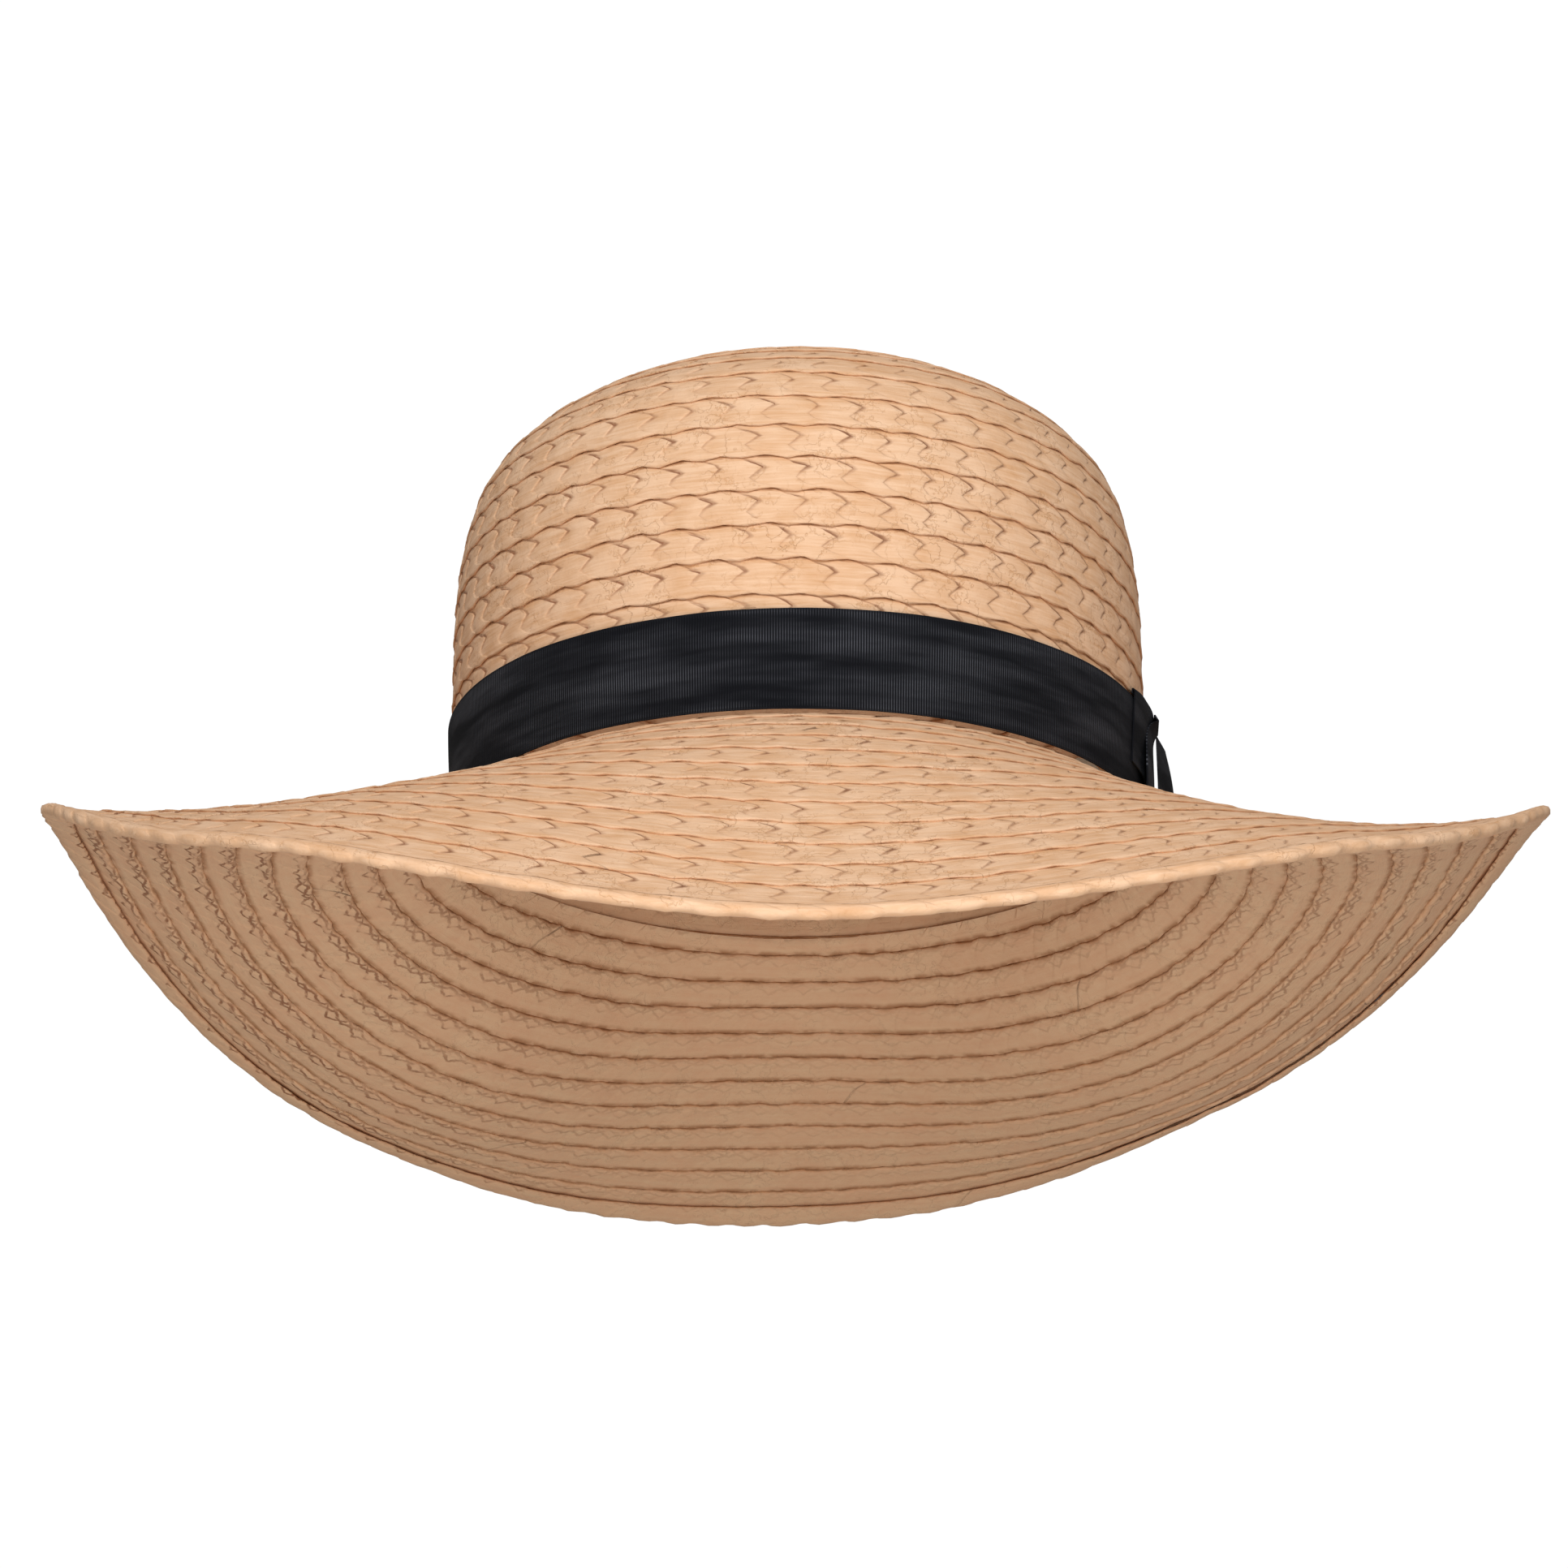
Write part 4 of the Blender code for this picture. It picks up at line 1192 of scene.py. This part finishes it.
def thread_bar(name, length, radius):
    """A short bar along X with round ends, a few dozen faces big."""
    shape = bmesh.new()
    stations = ((0.0, 0.12), (0.08, 0.75), (0.3, 1.0), (0.7, 1.0), (0.92, 0.75), (1.0, 0.12))
    rims = []
    for along, share in stations:
        rim = []
        for i in range(6):
            angle = math.pi * i / 3
            y, z = (wave(angle) * radius * share for wave in (math.cos, math.sin))
            rim.append(shape.verts.new(((along - 0.5) * length, y, z)))
        rims.append(rim)
    for one, two in zip(rims, rims[1:]):
        for i in range(6):
            shape.faces.new((one[i], two[i], two[(i + 1) % 6], one[(i + 1) % 6]))
    shape.faces.new(rims[0][::-1])
    shape.faces.new(rims[-1])
    bmesh.ops.recalc_face_normals(shape, faces=shape.faces)
    mesh = bpy.data.meshes.new(name)
    shape.to_mesh(mesh)
    shape.free()
    return new_object(name, mesh, helper=True)


stitch_bar = thread_bar("stitch_bar", 3.2 * MM, 0.22 * MM)
print("a stitch of thread has", len(stitch_bar.data.polygons), "faces")

# %% The tree that sets stitches along points
SEWING_KINDS = {
    "Places": "Geometry",
    "Stitch": "Object",
    "Size": "Float",
    "Slant": "Float",
    "Seed": "Int",
    "Finish": "Material",
}
sew, given, SEWING_INPUTS = new_group("set_stitches", SEWING_KINDS)
bar_shape = sew.shape_of(given["Stitch"])
tangent, facing = sew.stored("tangent"), sew.stored("facing")
sockets = {"Min_001": -1.0, "Max_001": 1.0, "Seed": given["Seed"]}
lean = sew.add("FunctionNodeRandomValue", {"data_type": "FLOAT"}, sockets, "Value_001")
beside = sew.add("ShaderNodeVectorMath", {"operation": "CROSS_PRODUCT"}, {0: facing, 1: tangent}, "Vector")
heading = sew.vector_sum(tangent, sew.scaled(beside, lean * given["Slant"]))
turned = sew.add(
    "FunctionNodeAxesToRotation",
    {"primary_axis": "X", "secondary_axis": "Z"},
    {"Primary Axis": heading, "Secondary Axis": facing},
    "Rotation",
)
size = sew.vector(given["Size"], given["Size"], given["Size"])
sockets = {"Points": given["Places"], "Instance": bar_shape, "Rotation": turned, "Scale": size}
bars = sew.add("GeometryNodeInstanceOnPoints", {}, sockets, "Instances")
real = sew.add("GeometryNodeRealizeInstances", {}, {"Geometry": bars}, "Geometry")
end_group(sew, real, given["Finish"])
print("nodes in the sewing tree:", len(sew.tree.nodes))


# %% The lining's stitches and the tacks
def sewing_places(points, tangents, facings):
    mesh = bpy.data.meshes.new("sewing_places")
    mesh.from_pydata(points, [], [])
    store_vectors(mesh, "tangent", tangents)
    store_vectors(mesh, "facing", facings)
    return mesh


def sew_row(name, node, turns, height, out, size, slant, thread, seed):
    points = wall_point(turns, np.full(len(turns), height), out)
    ahead = wall_point(turns + NEARBY, np.full(len(turns), height), out) - points
    tangents = ahead / np.linalg.norm(ahead, axis=1, keepdims=True)
    level = oval_normal(turns)
    facings = np.concatenate([level, np.zeros((len(turns), 1))], 1) * (-1 if out < 0 else 1)
    values = {"Stitch": stitch_bar, "Size": size, "Slant": slant, "Seed": seed, "Finish": thread}
    places = sewing_places(points, tangents, facings)
    belongs(run_tree(name, sew.tree, SEWING_INPUTS, values, places), node)
    print(name, "has", len(turns), "stitches")


half_gap = turn_of_width(BACK, 7.0 * MM)
sewn_turns = np.linspace(BACK + half_gap - 1, BACK - half_gap, 128)
seam_height, seam_out = SWEATBAND_FOOT + 2.0 * MM, band_inner - 0.42 * MM
sew_row(
    "lining_stitches", "sweatband_thread", sewn_turns, seam_height, seam_out, 0.9, 0.08, dark_thread, 3
)
for node, degrees in (("band_tack_right", 180.0), ("band_tack_back", 90.0), ("band_tack_front", 262.0)):
    middle = degrees / 360
    tack_turns = middle + np.array([-0.4, 0.0, 0.4]) * turn_of_width(middle, 1.0 * MM)
    tack_height = BAND_TOP + 0.45 * MM
    sew_row(node + "_stitches", node, tack_turns, tack_height, 0.5 * MM, 0.6, 0.15, straw_thread, 5)

# %% [markdown]
# ## The wire in the edge
# A thin steel wire runs inside the fold, and a small brass sleeve joins its ends. Their imported shapes
# are right, so they stay as they are and only get their metals: drawn steel and brass, each mottled
# with fine wear.


# %% Metals
def drawn_metal(name, colour, roughness, scratch_scale):
    made, tree, shader = finish(name)
    wear = tree.noise(tree.object_place(), scratch_scale, 3.0, 0.6, 1.0)
    dull = (*[value * 0.7 for value in colour], 1.0)
    shown = tree.blend(wear, dull, (*colour, 1.0))
    dress(tree, shader, shown, wear * 0.25 + roughness, wear, 0.02 * MM)
    shader.inputs["Metallic"].default_value = 1.0
    return made


for node, made in (
    ("edge_wire", drawn_metal("drawn_steel", (0.56, 0.57, 0.58), 0.25, 900.0)),
    ("wire_joiner", drawn_metal("crimped_brass", (0.70, 0.52, 0.24), 0.30, 600.0)),
):
    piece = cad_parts[node]
    piece.data.materials.clear()
    piece.data.materials.append(made)
    print(node, "is", made.name)

# %% [markdown]
# ## Floor and light
# The floor is plain and pale, and lies well below the low camera. The light is a bright even room with
# one soft lamp from above and in front, which shapes the crown and leaves the underside in soft shade,
# and a weaker one from below that keeps the underside readable.

# %% Floor
FLOOR_DROP = -0.46
floor_shape = bmesh.new()
bmesh.ops.create_grid(floor_shape, x_segments=1, y_segments=1, size=6.0)
bmesh.ops.translate(floor_shape, verts=floor_shape.verts, vec=(0, 0, FLOOR_DROP))
floor_mesh = bpy.data.meshes.new("floor")
floor_shape.to_mesh(floor_mesh)
floor_shape.free()
floor = new_object("floor", floor_mesh)
floor_finish, _, floor_shader = finish("pale_floor")
floor_shader.inputs["Base Color"].default_value = (0.86, 0.86, 0.85, 1.0)
floor_shader.inputs["Roughness"].default_value = 0.9
floor.data.materials.append(floor_finish)
print("the floor lies at", FLOOR_DROP)


# %% Light
def soft_lamp(name, place, size, power):
    """A round lamp that faces the middle of the hat. power is in watts."""
    lamp = new_object(name, bpy.data.lights.new(name, "AREA"))
    lamp.data.shape = "DISK"
    lamp.data.size = size
    lamp.data.energy = power
    lamp.location = place
    lamp.rotation_mode = "QUATERNION"
    lamp.rotation_quaternion = (-Vector(place)).to_track_quat("-Z", "Y")


soft_lamp("key", (-0.02, -1.9, 1.1), 0.8, 30.0)
soft_lamp("low_fill", (0.0, -0.38, -0.44), 0.7, 2.2)
world = bpy.data.worlds.new("bright_room")
bpy.context.scene.world = world
world.use_nodes = True
sky = Tree(world.node_tree)
seen = sky.add("ShaderNodeLightPath", {}, {}, "Is Camera Ray")
ground = world.node_tree.nodes["Background"]
ground.inputs["Color"].default_value = (1.0, 1.0, 1.0, 1.0)
sky.join(ground.inputs["Strength"], seen * 0.78 + 0.26)
bpy.context.scene.view_settings.view_transform = "Standard"
print("lamps:", [lamp.name for lamp in bpy.data.lights])

# %% [markdown]
# ## Tidy up
# The guides and the single stitches are helpers, so they are removed.

# %% Remove helpers
for helper in (crown_guide, brim_guide, plait_stitch, fold_stitch, stitch_bar):
    bpy.data.objects.remove(helper)
